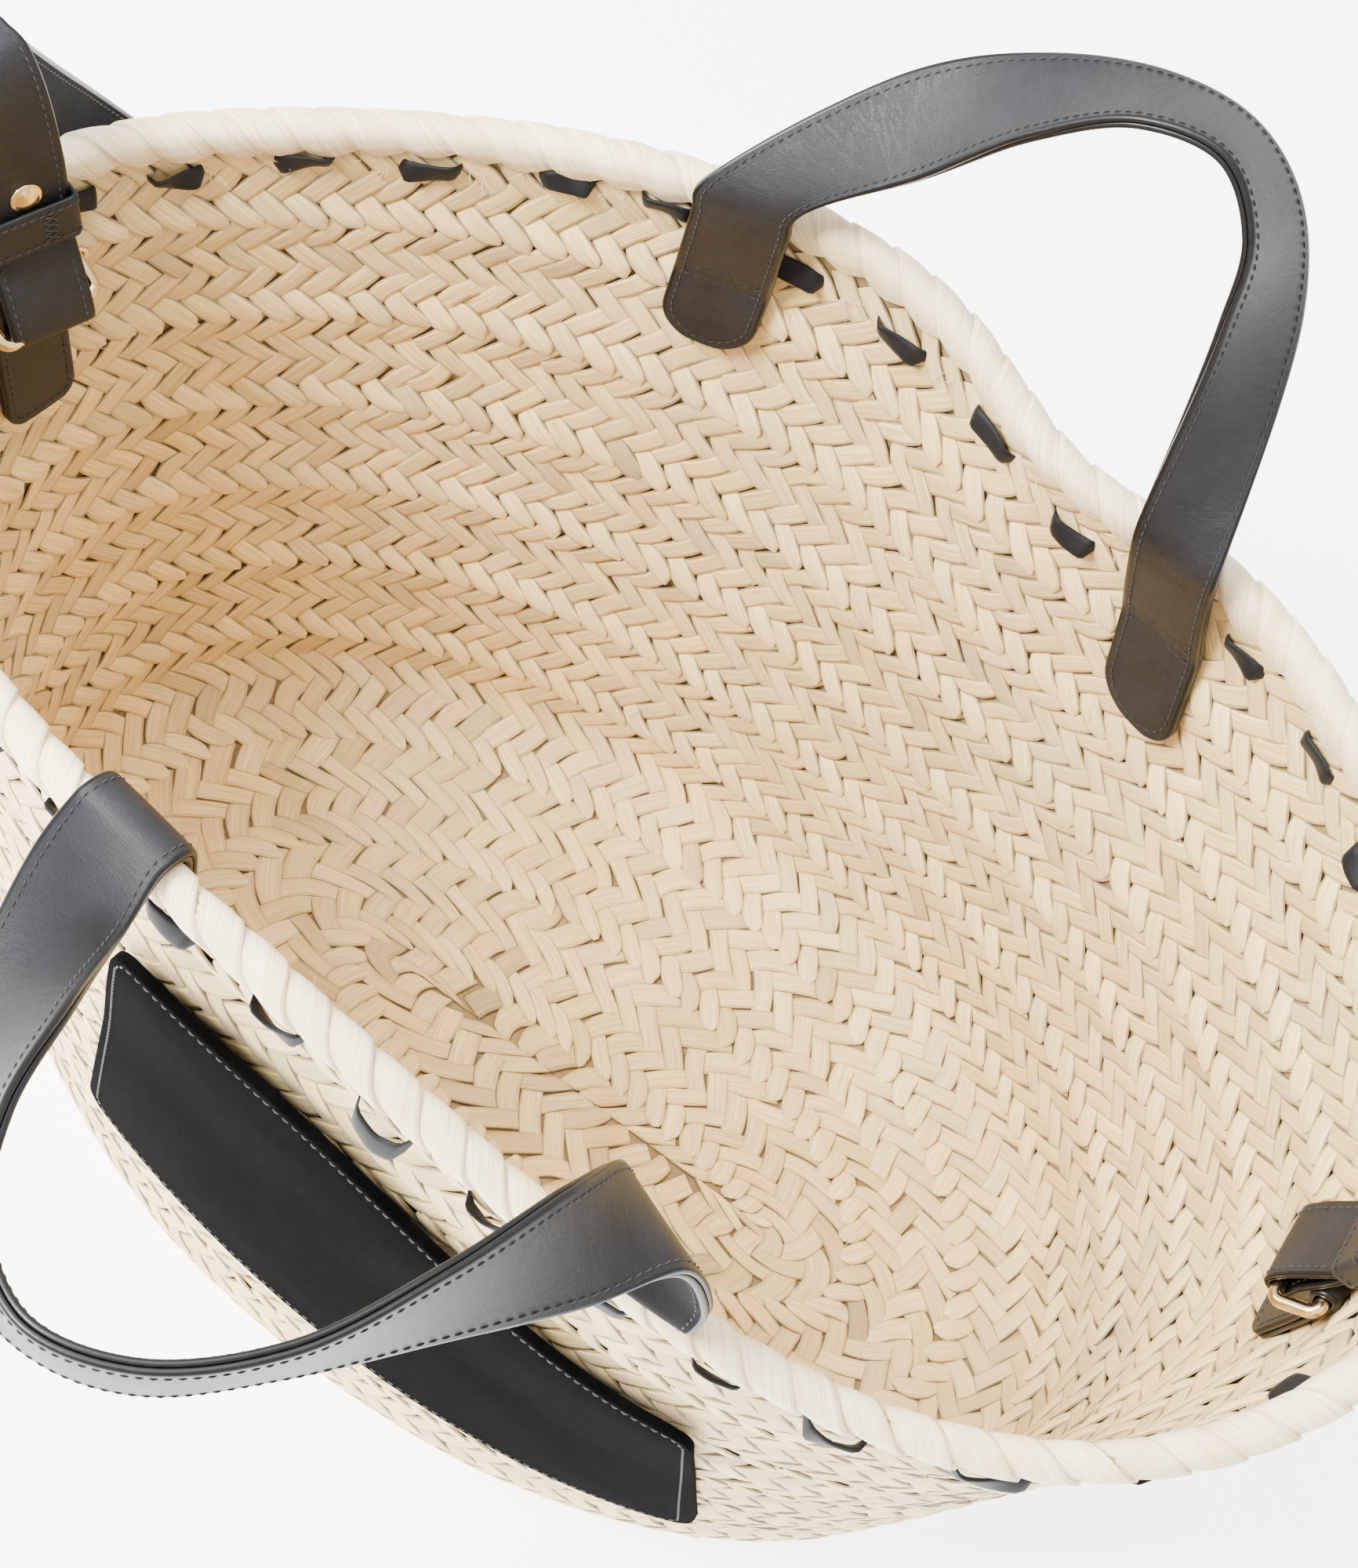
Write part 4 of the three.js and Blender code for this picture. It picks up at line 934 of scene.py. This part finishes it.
def build_panel():
    sheet, thread = Sheet(), Sheet()
    wide = PANEL_BOX["right"] - PANEL_BOX["left"]
    tall = PANEL_TALL
    edge = np.array([0, 0.12, 0.4, 0.8, 1.3, 2.0, 3.2, 5.0])
    xs = np.concatenate([edge, np.arange(8, wide - 8, 4.0), (wide - edge)[::-1]])
    vs = np.concatenate([edge, np.arange(8, tall - 8, 4.0), (tall - edge)[::-1]]) / tall
    xx, vv = np.meshgrid(xs, vs, indexing="ij")
    near = np.minimum(np.minimum(xx, wide - xx), np.minimum(vv, 1 - vv) * tall)
    lift = PANEL_BOX["thick"] * np.sqrt(np.clip(1 - np.clip(1 - near / 1.5, 0, 1) ** 2, 0, 1))
    lift = lift - 0.22 * np.exp(-(((near - PANEL_SEAM) / 1.0) ** 2)) + 0.35 * smooth(near / 30)
    front = panel_point(xx / wide, vv, np.maximum(lift, 0.0))
    back = panel_point(xx / wide, vv, 0 * lift)
    uv = np.stack([xx, vv * tall], -1)
    sheet.grid(front, uv, (1, 1, 1))
    sheet.grid(back[::-1], uv[::-1], (1, 1, 1))
    d = PANEL_SEAM
    corner = np.linspace(0, math.pi / 2, 12)
    right_x, top_y, r = wide - d, tall - d, 6.0
    outline = []
    corners = ((right_x - r, top_y - r), (d + r, top_y - r), (d + r, d + r), (right_x - r, d + r))
    for start, (cx, cy) in enumerate(corners):
        turns = corner + start * math.pi / 2
        outline += [(cx + r * math.cos(t), cy + r * math.sin(t)) for t in turns]
    outline.append(outline[0])
    outline = np.array(outline)
    run = running_length(outline)
    even = np.arange(0, run[-1], 1.0)
    ox, oy = (np.interp(even, run, outline[:, k]) for k in (0, 1))
    lift = np.full(len(ox), PANEL_BOX["thick"] - 0.2)
    p = panel_point(ox / wide, oy / tall, lift)
    ahead = panel_point(ox / wide + 0.005, oy / tall, lift) - p
    above = panel_point(ox / wide, oy / tall + 0.01, lift) - p
    n = unit(np.cross(ahead, above))
    stitches(thread, p, n, pitch=3.4, length=2.5, radius=0.4)
    return sheet.build("front_panel_leather", PANEL), thread.build("front_panel_stitching", THREAD)


panel_obj, panel_thread = build_panel()
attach(panel_obj, "basket")
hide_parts("front_panel")
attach(panel_thread, "basket")

# ---------------------------------------------------------------- shoulder strap and its ends
END_Y, SEAT, LIFT = 5.0, 55.0, 2.1
SHOULDER, BAR, RING_HALF, FOLD_R = 27.0, 2.2, 17.5, 2.8
WALL_BAR, FOLD_BAR = (4.6, 14.0), (14.8, 4.6)
BACK_LAYER, FRONT_LAYER = 8.0, 10.2
KEEPER_RISE, KEEPER_TALL, RIVET_RISE = 49.0, 16.0, 53.0
ENDS = (
    ("left", -1, dict(fold=46.0, tab_end=93.0, eyelet=39.0, arch=54.0, ease=3.0, twist=13.0)),
    ("right", 1, dict(fold=84.0, tab_end=117.0, eyelet=86.0, arch=50.0, ease=0.0, twist=0.0)),
)
LOW_Z, BACK_Y = 44.0, 200.0
SEAM_INSET, FOLD_REACH, TWIST_PIVOT = 2.8, 3.7, 10.0


class WallFrame:
    """Flat frame touching the inside of the wall: inward, down along the wall, across."""

    def __init__(self, angle, level, lift):
        self.origin = on_wall(angle, level, -WALL / 2)
        down = on_wall(angle, level - 0.05, -WALL / 2) - self.origin
        out = outward(angle, level)
        self.across = np.array([-out[1], out[0], 0]) * np.sign(out[0])
        self.down = unit(down - self.across * (down @ self.across))
        inward = np.cross(self.across, self.down)
        self.inward = -inward if inward @ out > 0 else inward
        self.lift = lift
        self.seat = 0.0

    def place(self, n, drop, y):
        n, drop, y = (np.asarray(q, float)[..., None] for q in (n, drop, y))
        return self.origin + self.inward * (n + self.lift) + self.down * (drop - self.seat) + self.across * y


def turned(frame_, degrees, pivot):
    """The same frame twisted about its down axis at a given height off the wall."""
    made = WallFrame.__new__(WallFrame)
    c, s = math.cos(math.radians(degrees)), math.sin(math.radians(degrees))
    made.down, made.lift, made.seat = frame_.down, frame_.lift, frame_.seat
    made.across = frame_.across * c + frame_.inward * s
    made.inward = frame_.inward * c - frame_.across * s
    made.origin = frame_.origin + (frame_.inward - made.inward) * (pivot + frame_.lift)
    return made


def end_frame(side):
    level = 1 - SEAT / rim_height(0.0 if side > 0 else math.pi)
    made = WallFrame(angle_at_y(END_Y, side, level), level, LIFT)
    made.seat = SEAT
    return made


def crest_point(side, end):
    rim = form(angle_at_y(END_Y, side), 1.0)
    return np.array([rim[0] + side * 4 + end["ease"], END_Y, rim[2] + end["arch"]])


def bezier(c, t):
    t = np.asarray(t, float)[..., None]
    return (1 - t) ** 3 * c[0] + 3 * (1 - t) ** 2 * t * c[1] + 3 * (1 - t) * t**2 * c[2] + t**3 * c[3]


def arc(n, drop, radius, start, stop, steps):
    turn = np.radians(np.linspace(start, stop, steps))
    return [(n + radius * math.cos(a), drop + radius * math.sin(a)) for a in turn]


def strap_half_net(side, end):
    """From the cut end of the return layer, round the ring, up over the rim, to the low middle."""
    f = turned(end_frame(side), end["twist"], TWIST_PIVOT)
    wall_bar, fold_bar = end["fold"] - WALL_BAR[1], end["fold"] - FOLD_BAR[1]
    rivet, keeper = end["fold"] - RIVET_RISE, end["fold"] - KEEPER_RISE
    path = [(BACK_LAYER, rivet - 7), (BACK_LAYER, rivet + 4),
            (BACK_LAYER, keeper + 9), (BACK_LAYER, keeper + 18),
            (BACK_LAYER + 1.1, (keeper + 18 + wall_bar - 1) / 2 + 1),
            (FOLD_BAR[0] - 3.7, max(wall_bar, fold_bar - 6))]
    path += arc(FOLD_BAR[0], fold_bar, FOLD_REACH, 180, 0, 7)
    path += [(FOLD_BAR[0] + 2.2, fold_bar - 8), (FRONT_LAYER + 2.4, keeper + 24), (FRONT_LAYER, keeper + 17),
             (FRONT_LAYER, keeper + 8), (FRONT_LAYER, rivet + 3), (FRONT_LAYER, rivet - 7)]
    centre = [f.place(n, d, 0.0) for n, d in path]
    cross = [f.across] * len(centre)
    top, crest = centre[-1], crest_point(side, end)
    rim = form(angle_at_y(END_Y, side), 1.0)
    arch = [top, np.array([top[0] + side * 4, top[1], (top[2] + crest[2]) / 2]),
            np.array([rim[0] - side * 5, crest[1], crest[2]]), crest]
    for k in range(1, 9):
        centre.append(bezier(arch, k / 8))
        cross.append(unit(f.across * (1 - smooth(k / 8)) + np.array([0, 1, 0]) * smooth(k / 8)))
    start = crest + np.array([side, 0, 0])
    point = lambda out, back, down: np.array([start[0] + side * out, start[1] + back, start[2] - down])
    low = np.array([0, BACK_Y, LOW_Z])
    legs = ([start, point(16, 0, 0), point(21, 20, 38), point(24, 62, 102)],
            [point(24, 62, 102), point(28, 113, 182), np.array([side * 150, BACK_Y, LOW_Z]), low])
    loop = (
        [bezier(legs[0], t) for t in np.linspace(0, 1, 12)[1:]]
        + [bezier(legs[1], t) for t in np.linspace(0, 1, 18)[1:]]
    )
    first = len(centre)
    centre += loop
    centre = np.array(centre)
    along = unit(np.gradient(centre, axis=0))
    for k in range(first, len(centre)):
        a = along[k]
        cross.append(unit(np.array([0, 1, 0]) - a * a[1]))
    return centre, np.array(cross), first


halves = []
for name, side, end in ENDS:
    halves.append(strap_half_net(side, end))
(lc, lx, lf), (rc, rx, rf) = halves
centre = np.concatenate([lc, rc[::-1][1:]])
cross = np.concatenate([lx, rx[::-1][1:]])
cross = unit(cross)
sns = np.linspace(-1, 1, 5)
net = centre[:, None] + cross[:, None] * sns[None, :, None] * SHOULDER / 2
shoulder = Ribbon(net, SHOULDER, 1)
test = np.argmin(np.linalg.norm(shoulder.grid[:, 2] - np.array([-276, 20, 335]), axis=1))
if shoulder.normal[test, 2][0] > 0:
    shoulder.normal = -shoulder.normal
mid_line = shoulder.grid[:, 2]


def run_of(point):
    return shoulder.run[np.argmin(np.linalg.norm(mid_line - point, axis=1))]


cut = {
    name: run_of(crest_point(side, end) + np.array([side * 22, 12, -22])) for name, side, end in ENDS
}
pieces = (
    ("left", 0.06, cut["left"]),
    ("loop", cut["left"], cut["right"]),
    ("right", cut["right"], shoulder.length - 0.06),
)
for label, s0, s1 in pieces:
    s = np.linspace(s0, s1, int((s1 - s0) / 1.25))
    up = np.minimum(s, shoulder.length - s)
    narrow = np.sqrt(np.clip(1 - np.clip(1 - up / 7.0, 0, 1) ** 2.6 * 0.55, 0.01, 1))
    thin = 0.52 + 0.48 * smooth((up - 150) / 40)
    face, lining, thread = Sheet(), Sheet(), Sheet()
    shoulder.layer(face, s, 0.1, 1.9, narrow, thin, 0.15)
    shoulder.layer(lining, s, -0.1, -1.9, narrow, thin, 0.0)
    for x in (-SHOULDER / 2 + SEAM_INSET, SHOULDER / 2 - SEAM_INSET):
        for sign in (1, -1):
            p, n = shoulder.at(s, np.full(len(s), x) * narrow, 0.0)
            p = p + n * (sign * (0.1 + 1.8 * thin))[:, None]
            stitches(thread, p, n * sign)
    objects = (
        (face.build(f"shoulder_{label}_leather", LEATHER, EDGE), "black_leather"),
        (lining.build(f"shoulder_{label}_backing", LINING, EDGE, flip=True), "leather_lining"),
        (thread.build(f"shoulder_{label}_stitching", THREAD), "black_leather"),
    )
    for k, (obj, slot) in enumerate(objects):
        if label == "loop":
            if k < 2:
                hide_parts(("shoulder_strap_face", "shoulder_strap_lining")[k])
            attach(obj, "shoulder_strap")
        else:
            if k == 0:
                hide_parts(f"{label}_strap_end")
            side, end = next((q, e) for n_, q, e in ENDS if n_ == label)
            crest = crest_point(side, end)
            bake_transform(obj)

for name, side, end in ENDS:
    f = end_frame(side)
    wall_bar, fold_bar = end["fold"] - WALL_BAR[1], end["fold"] - FOLD_BAR[1]
    rivet, keeper = end["fold"] - RIVET_RISE, end["fold"] - KEEPER_RISE

    # Anchor tab: a strip doubled round the wall bar of the ring.
    near = WALL_BAR[0] - FOLD_REACH
    path = [(near, end["tab_end"] - q) for q in (0, 6, 14)] + [(near, wall_bar + 14), (near, wall_bar + 4)]
    path += arc(WALL_BAR[0], wall_bar, FOLD_REACH, 180, 360, 8)
    path += [(near + 4.4, wall_bar + 8), (near + 2.5, wall_bar + 16)]
    path += [(near + 2.3, end["tab_end"] - q) for q in (12, 5, 0)]
    c = np.array([f.place(n, d, 0.0) for n, d in path])
    tab_net_ = c[:, None] + f.across * (sns * SHOULDER / 2)[:, None]
    tab = Ribbon(tab_net_, SHOULDER, 1)
    if tab.normal[-3, 2] @ f.inward < 0:
        tab.normal = -tab.normal
    s = dense_ends(tab.length, 7.0)
    up = np.minimum(s, tab.length - s)
    narrow = 1 - 0.45 * (1 - np.sqrt(np.clip(1 - np.clip(1 - up / 7.0, 0, 1) ** 2, 0, 1)))
    leather, thread = Sheet(), Sheet()
    tab.layer(leather, s, -0.9, 0.9, narrow, None, 0.1)
    inset = SHOULDER / 2 - SEAM_INSET
    last = tab.length
    start_s = last - (end["tab_end"] - wall_bar) + 9
    side_run = np.linspace(start_s, last - 6.5, 60)
    loop_line = [(q, inset) for q in side_run]
    quarter = np.linspace(0, math.pi / 2, 8)
    loop_line += [(last - 6.5 + 3.6 * math.sin(t), inset - 3.6 * (1 - math.cos(t))) for t in quarter]
    loop_line += [(q, -x) for q, x in loop_line[::-1]]
    loop_line = np.array(loop_line)
    p, n = tab.at(loop_line[:, 0], loop_line[:, 1], 0.95)
    stitches(thread, p, n)
    bar_line = np.stack([np.full(30, start_s), np.linspace(-inset, inset, 30)], -1)
    p, n = tab.at(bar_line[:, 0], bar_line[:, 1], 0.95)
    stitches(thread, p, n)
    obj = leather.build(f"{name}_anchor_leather", LEATHER, EDGE)
    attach(obj, "basket")
    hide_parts(f"{name}_anchor_tab")
    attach(thread.build(f"{name}_anchor_stitching", THREAD), "basket")

    # Ring: a rounded wire rectangle from the anchor bar to the fold bar.
    tilt = np.array([FOLD_BAR[0] - WALL_BAR[0], WALL_BAR[1] - FOLD_BAR[1]])
    half_height = np.linalg.norm(tilt) / 2
    tilt = tilt / np.linalg.norm(tilt)
    middle = np.array([(WALL_BAR[0] + FOLD_BAR[0]) / 2, end["fold"] - (WALL_BAR[1] + FOLD_BAR[1]) / 2])
    wire, outward_dir = [], []
    for sy, sd, start in ((1, -1, -90), (1, 1, 0), (-1, 1, 90), (-1, -1, 180)):
        for k in range(9):
            a = math.radians(start + 90 * k / 8)
            wire.append((sy * (RING_HALF - 3) + 3 * math.cos(a), sd * (half_height - 3) + 3 * math.sin(a)))
            outward_dir.append((math.cos(a), math.sin(a)))
    turn = np.linspace(0, 2 * np.pi, 15)[:-1]
    rings = []
    for (y, d), (oy, od) in zip(wire, outward_dir):
        spread, lift = BAR * 0.98 * np.cos(turn), BAR * 0.98 * np.sin(turn)
        dd = d + od * spread
        rings.append(f.place(middle[0] + tilt[0] * dd + tilt[1] * lift,
            middle[1] + tilt[1] * dd - tilt[0] * lift, y + oy * spread))
    metal = Sheet()
    metal.grid(np.array(rings), uv_grid(np.arange(len(rings)), turn), (1, 1, 1), wrap_u=True, wrap_v=True)
    obj = metal.build(f"{name}_gold_ring", METAL)
    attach(obj, f"{name}_ring")
    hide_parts(f"{name}_strap_ring")

    f = turned(f, end["twist"], TWIST_PIVOT)
    # Rivet: a low domed head with a turned edge, and its shank.
    profile = [(0.01, 2.75), (1.2, 2.7), (2.6, 2.45), (3.6, 2.0), (4.15, 1.75), (4.5, 1.85),
               (4.9, 1.7), (5.1, 1.35), (5.0, 0.95), (4.6, 0.75), (1.4, 0.7), (1.4, -3.6)]
    radius = np.array([q[0] for q in profile])
    height = FRONT_LAYER + np.array([q[1] for q in profile])
    turn = np.linspace(0, 2 * np.pi, 49)[:-1]
    rr, aa = np.meshgrid(radius, turn, indexing="ij")
    hh = np.broadcast_to(height[:, None], rr.shape)
    metal = Sheet()
    metal.grid(f.place(hh, rivet + rr * np.sin(aa), rr * np.cos(aa)), np.stack([rr, aa], -1), (1, 1, 1),
        wrap_v=True)
    obj = metal.build(f"{name}_gold_rivet", METAL, flip=side < 0)
    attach(obj, "basket")
    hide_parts(f"{name}_rivet")

    # Keeper: a stitched leather band round both strap layers.
    n_low, n_high, half = BACK_LAYER - 2.0, FRONT_LAYER + 3.35, SHOULDER / 2 + 1.15
    outline = []
    corners = ((n_high - 1.6, half - 1.6), (n_low + 1.6, half - 1.6),
               (n_low + 1.6, -half + 1.6), (n_high - 1.6, -half + 1.6))
    for start, (cn, cy) in enumerate(corners):
        for t in np.linspace(0, math.pi / 2, 7):
            a = t + start * math.pi / 2
            outline.append((cn + 1.6 * math.cos(a), cy + 1.6 * math.sin(a), math.cos(a), math.sin(a)))
    outline = np.array(outline + outline[:1])
    run = running_length(outline[:, :2])
    even = np.linspace(0, run[-1], 90)[:-1]
    o = np.stack([np.interp(even, run, outline[:, k]) for k in range(4)], -1)
    o[:, 2:] = unit(o[:, 2:])
    section = [(0.3, -0.75), (0.05, -0.4), (0.0, 0.1), (0.15, 0.5), (0.6, 0.75), (1.6, 0.8)]
    down_ = np.array([q[0] for q in section] + [KEEPER_TALL / 2]
        + [KEEPER_TALL - q[0] for q in section[::-1]])
    out_ = np.array([q[1] for q in section] + [0.86] + [q[1] for q in section[::-1]])
    band = Sheet()
    for slot, pick in ((1, slice(0, 5)), (0, slice(4, 9)), (1, slice(8, 13))):
        band.slot = slot
        nn = o[:, 0, None] + o[:, 2, None] * out_[None, pick]
        yy = o[:, 1, None] + o[:, 3, None] * out_[None, pick]
        dd = np.broadcast_to(keeper + down_[pick], nn.shape)
        band.grid(f.place(nn, dd, yy), np.stack([np.broadcast_to(even[:, None], nn.shape), dd], -1),
            (1, 1, 1), wrap_u=True)
    nn = o[:, 0, None] - 0.75 * o[:, 2, None] * np.ones(2)
    yy = o[:, 1, None] - 0.75 * o[:, 3, None] * np.ones(2)
    dd = np.broadcast_to(keeper + np.array([0.3, KEEPER_TALL - 0.3]), nn.shape)
    band.grid(f.place(nn, dd, yy)[:, ::-1], np.stack([nn, dd], -1), (1, 1, 1), wrap_u=True)
    thread = Sheet()
    for drop in (2.4, KEEPER_TALL - 2.4):
        o2 = np.concatenate([o, o[:1]])
        p = f.place(o2[:, 0] + o2[:, 2] * 0.85, np.full(len(o2), keeper + drop), o2[:, 1] + o2[:, 3] * 0.85)
        n = f.inward * o2[:, 2, None] + f.across * o2[:, 3, None]
        stitches(thread, p, n, pitch=2.9, length=2.1, radius=0.36)
    for k in range(4):
        for lean in (-1, 1):
            d0 = keeper + 4.2 + k * 2.5
            ends_ = [f.place(n_high + 0.85, d0 - 1.0, 5.2 - lean * 1.7),
                f.place(n_high + 0.85, d0 + 1.0, 5.2 + lean * 1.7)]
            p = np.linspace(ends_[0], ends_[1], 6)
            stitches(thread, p, np.tile(f.inward, (6, 1)), pitch=9, length=3.6, radius=0.33, slant=0)
    obj = band.build(f"{name}_keeper_leather", LEATHER, EDGE, flip=side > 0)
    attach(obj, f"{name}_keeper")
    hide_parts(f"{name}_keeper")
    obj = thread.build(f"{name}_keeper_stitching", THREAD)
    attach(obj, f"{name}_keeper")

    # Eyelet set in the wall beside the tab.
    level = 1 - end["eyelet"] / form(angle_at_y(END_Y, side), 1.0)[2]
    e = WallFrame(angle_at_y(END_Y + SHOULDER / 2 + 9, side, level), level, 0.8)
    ring_a, ring_b = np.linspace(0, 2 * np.pi, 33)[:-1], np.linspace(0, 2 * np.pi, 13)[:-1]
    ra, rb = np.meshgrid(ring_a, ring_b, indexing="ij")
    r_ = 2.35 + 0.95 * np.cos(rb)
    metal = Sheet()
    metal.grid(e.place(0.9 + 0.6 * np.sin(rb), r_ * np.sin(ra), r_ * np.cos(ra)), np.stack([ra, rb], -1),
        (1, 1, 1), wrap_u=True, wrap_v=True)
    obj = metal.build(f"{name}_gold_eyelet", METAL)
    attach(obj, "basket")
    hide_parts(f"{name}_wall_eyelet")

# ---------------------------------------------------------------- lace through the rim
INSIDE = [(158, 16), (145, 11), (134, 14), (122, 10), (115, 11), (104, 18), (95.5, 21), (86, 16),
          (77, 23), (70, 18), (63, 16), (53, 14), (43, 24), (34, 20), (25, 18), (16, 17), (7, 17), (-2, 17), (-11, 17), (-20, 18),
          (-29, 17), (-38, 16), (-51, 14), (-60, 12), (-68, 9), (-76, 8), (-84, 9), (-92.5, 8), (-101, 6),
          (-110, 10), (-119, 14), (-128, 16), (-138, 16), (-148, 16), (-158, 17), (-169, 17), (-180, 17),
          (-191, 16)]
LACE_WIDTH, LACE_THICK = 8.4, 1.6
OUTSIDE = {-46.5: 14, -56: 15, -64: 5.5, -72: 5, -80: 10, -88: 7, -97: 6, -105: 5}


def build_lace():
    knots = []
    count = len(INSIDE)
    for k, (angle, drop) in enumerate(INSIDE):
        following = INSIDE[(k + 1) % count]
        nxt = following[0] - (360 if k == count - 1 else 0)
        between = (angle + nxt) / 2
        found = [v for a, v in OUTSIDE.items() if abs(a - between) < 3.2]
        out_drop = found[0] + 9 if found else (drop + following[1]) / 2 + 1
        knots.append((angle, drop, -1))
        knots.append((between, out_drop, 1))
    angles, offs, drops = [], [], []
    for k, (angle, drop, face) in enumerate(knots):
        nxt = knots[(k + 1) % len(knots)]
        far = nxt[0] - (360 if k == len(knots) - 1 else 0)
        for step in np.linspace(0, 1, 14)[:-1]:
            angles.append(angle + (far - angle) * step)
            drops.append(drop + (nxt[1] - drop) * smooth(step))
            flip = np.clip((step - 0.5) / 0.075, -1, 1)
            offs.append(face * (4.3 if face < 0 else 4.6) * (1 if flip < 0 else 0) * min(1, abs(flip))
                + nxt[2] * 4.4 * (1 if flip > 0 else 0) * min(1, abs(flip)))
    a = np.radians(np.array(angles))
    offs, drops = np.array(offs), np.array(drops)
    slack = np.interp(np.mod(np.degrees(a), 360), [266, 272, 278], [0, 1, 0])
    drops = drops + 5 * slack * (offs > 0)
    offs = offs + 3.0 * slack * (offs > 0)
    offs = (np.roll(offs, 1) + 2 * offs + np.roll(offs, -1)) / 4
    top = form(a, np.ones_like(a))[:, 2]
    profile = [(-1, 0), (-0.92, 0.6), (-0.6, 0.95), (0, 1), (0.6, 0.95), (0.92, 0.6), (1, 0), (0.92, -0.6),
        (0.5, -0.95), (-0.5, -0.95), (-0.92, -0.6)]
    px = np.array([q[0] for q in profile]) * LACE_WIDTH / 2
    py = np.array([q[1] for q in profile]) * LACE_THICK / 2
    twist = 0.38 * np.sin(a * 23) + 0.25 * np.sin(a * 41)
    squeeze = 1 - 0.62 * np.exp(-((offs / 3.2) ** 2))
    ct, st = np.cos(twist)[:, None], np.sin(twist)[:, None]
    xx = px[None] * squeeze[:, None] * ct - py[None] * st
    yy = px[None] * squeeze[:, None] * st + py[None] * ct
    level = 1 - (drops[:, None] + xx) / top[:, None]
    points = on_wall(np.broadcast_to(a[:, None], xx.shape), level, offs[:, None] + yy)
    sheet = Sheet()
    sheet.grid(points, uv_grid(np.arange(len(a)) * 3.0, px), (1, 1, 1), wrap_u=True, wrap_v=True)
    return sheet.build("soft_rim_lace", LACE)


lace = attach(build_lace(), "basket")
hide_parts("rim_lace")


# ---------------------------------------------------------------- loose fibres
def build_fibres():
    sheet = Sheet()
    for angle, drop in INSIDE:
        for end in (-1, 1):
            for _ in range(4):
                a = math.radians(angle + end * (4.2 + rng.uniform(-0.8, 0.8)))
                z = float(form(a, 1.0)[2])
                base = on_wall(a, 1 - (drop + rng.uniform(-3, 3)) / z, -2.4)
                heading = rng.normal(0, 1, 3) * np.array([1, 1, 0.7])
                heading = heading - outward(a, 1.0) * 0.8
                reach = rng.uniform(2.5, 7)
                t = np.linspace(0, 1, 6)[:, None]
                bend = rng.normal(0, 1, 3) * reach * 0.3
                path = base + unit(heading) * t * reach + bend * t**2
                tube(sheet, path, 0.16, 4, (1, 0.97, 0.9), np.linspace(1, 0.3, 6))
    for _ in range(70):
        t0, s0 = rng.uniform(0, 2 * np.pi), rng.uniform(40, S_TOTAL - 20)
        base = sample(GRID, np.array([t0]), np.array([s0]))[0]
        n = -sample(GRID_NORMAL, np.array([t0]), np.array([s0]))[0]
        heading = unit(rng.normal(0, 1, 3))
        heading = unit(heading - n * (heading @ n))
        reach = rng.uniform(5, 16)
        t = np.linspace(0, 1, 8)[:, None]
        path = (
            base + n * (2.3 + 1.8 * np.sin(t * math.pi)) + heading * t * reach + np.cross(n, heading)
            * t**2 * rng.normal(0, 3)
        )
        tube(sheet, path, 0.14, 4, (1, 0.97, 0.9), np.linspace(1, 0.4, 8))
    return sheet.build("loose_palm_fibres", WRAP)


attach(build_fibres(), "basket")

# ---------------------------------------------------------------- stage, light, camera
scene = bpy.context.scene


def area(name, place, aim, size, power):
    data = bpy.data.lights.new(name, "AREA")
    data.shape = "RECTANGLE"
    data.size, data.size_y, data.energy = size, size, power
    obj = bpy.data.objects.new(name, data)
    obj.location = place
    obj.rotation_euler = (Vector(aim) - Vector(place)).to_track_quat("-Z", "Y").to_euler()
    scene.collection.objects.link(obj)
    return obj


floor_mesh = bpy.data.meshes.new("floor")
floor_mesh.from_pydata([(-4, -4, 0), (4, -4, 0), (4, 4, 0), (-4, 4, 0)], [], [(0, 1, 2, 3)])
floor_nodes = Nodes("pale_floor")
floor_place = floor_nodes.new("ShaderNodeTexCoord").outputs["Object"]
floor_tone = floor_nodes.noise(floor_place, 1.3, 2, 0.5)
floor_nodes.set(
    Base_Color=floor_nodes.mix(floor_tone, srgb(250, 250, 250), srgb(253, 253, 253)),
    Roughness=0.85,
    Emission_Color=(1.0, 1.0, 1.0, 1.0),
    Emission_Strength=3.4,
)
floor_mesh.materials.append(floor_nodes.material)
floor = bpy.data.objects.new("floor", floor_mesh)
scene.collection.objects.link(floor)

world = bpy.data.worlds.new("studio")
scene.world = world
world.use_nodes = True
world.node_tree.nodes["Background"].inputs[0].default_value = (1, 1, 1, 1)
world.node_tree.nodes["Background"].inputs[1].default_value = 1.7
area("front_key", (-0.75, -0.7, 1.45), (0, 0, 0.2), 0.55, 105)
area("top_soft", (-0.3, 0.2, 1.9), (0, 0, 0.2), 1.2, 34)
area("left_soft", (-1.6, -0.5, 0.9), (0, 0, 0.25), 0.8, 24)

camera_data = bpy.data.cameras.new("camera")
camera_data.sensor_fit = "AUTO"
camera_data.sensor_width = 36.0
camera_data.lens = 36.0 * 3761.53 / 2000
camera_data.clip_start, camera_data.clip_end = 0.02, 20.0
camera = bpy.data.objects.new("camera", camera_data)
right = (0.80591, 0.56026, 0.19137)
up_ = (-0.58057, 0.68454, 0.44083)
forward = (-0.11598, 0.46637, -0.87695)
camera.matrix_world = Matrix(
    [
        (right[0], up_[0], -forward[0], 0.10465),
        (right[1], up_[1], -forward[1], -0.39873),
        (right[2], up_[2], -forward[2], 1.01012),
        (0, 0, 0, 1),
    ]
)
scene.collection.objects.link(camera)
scene.camera = camera
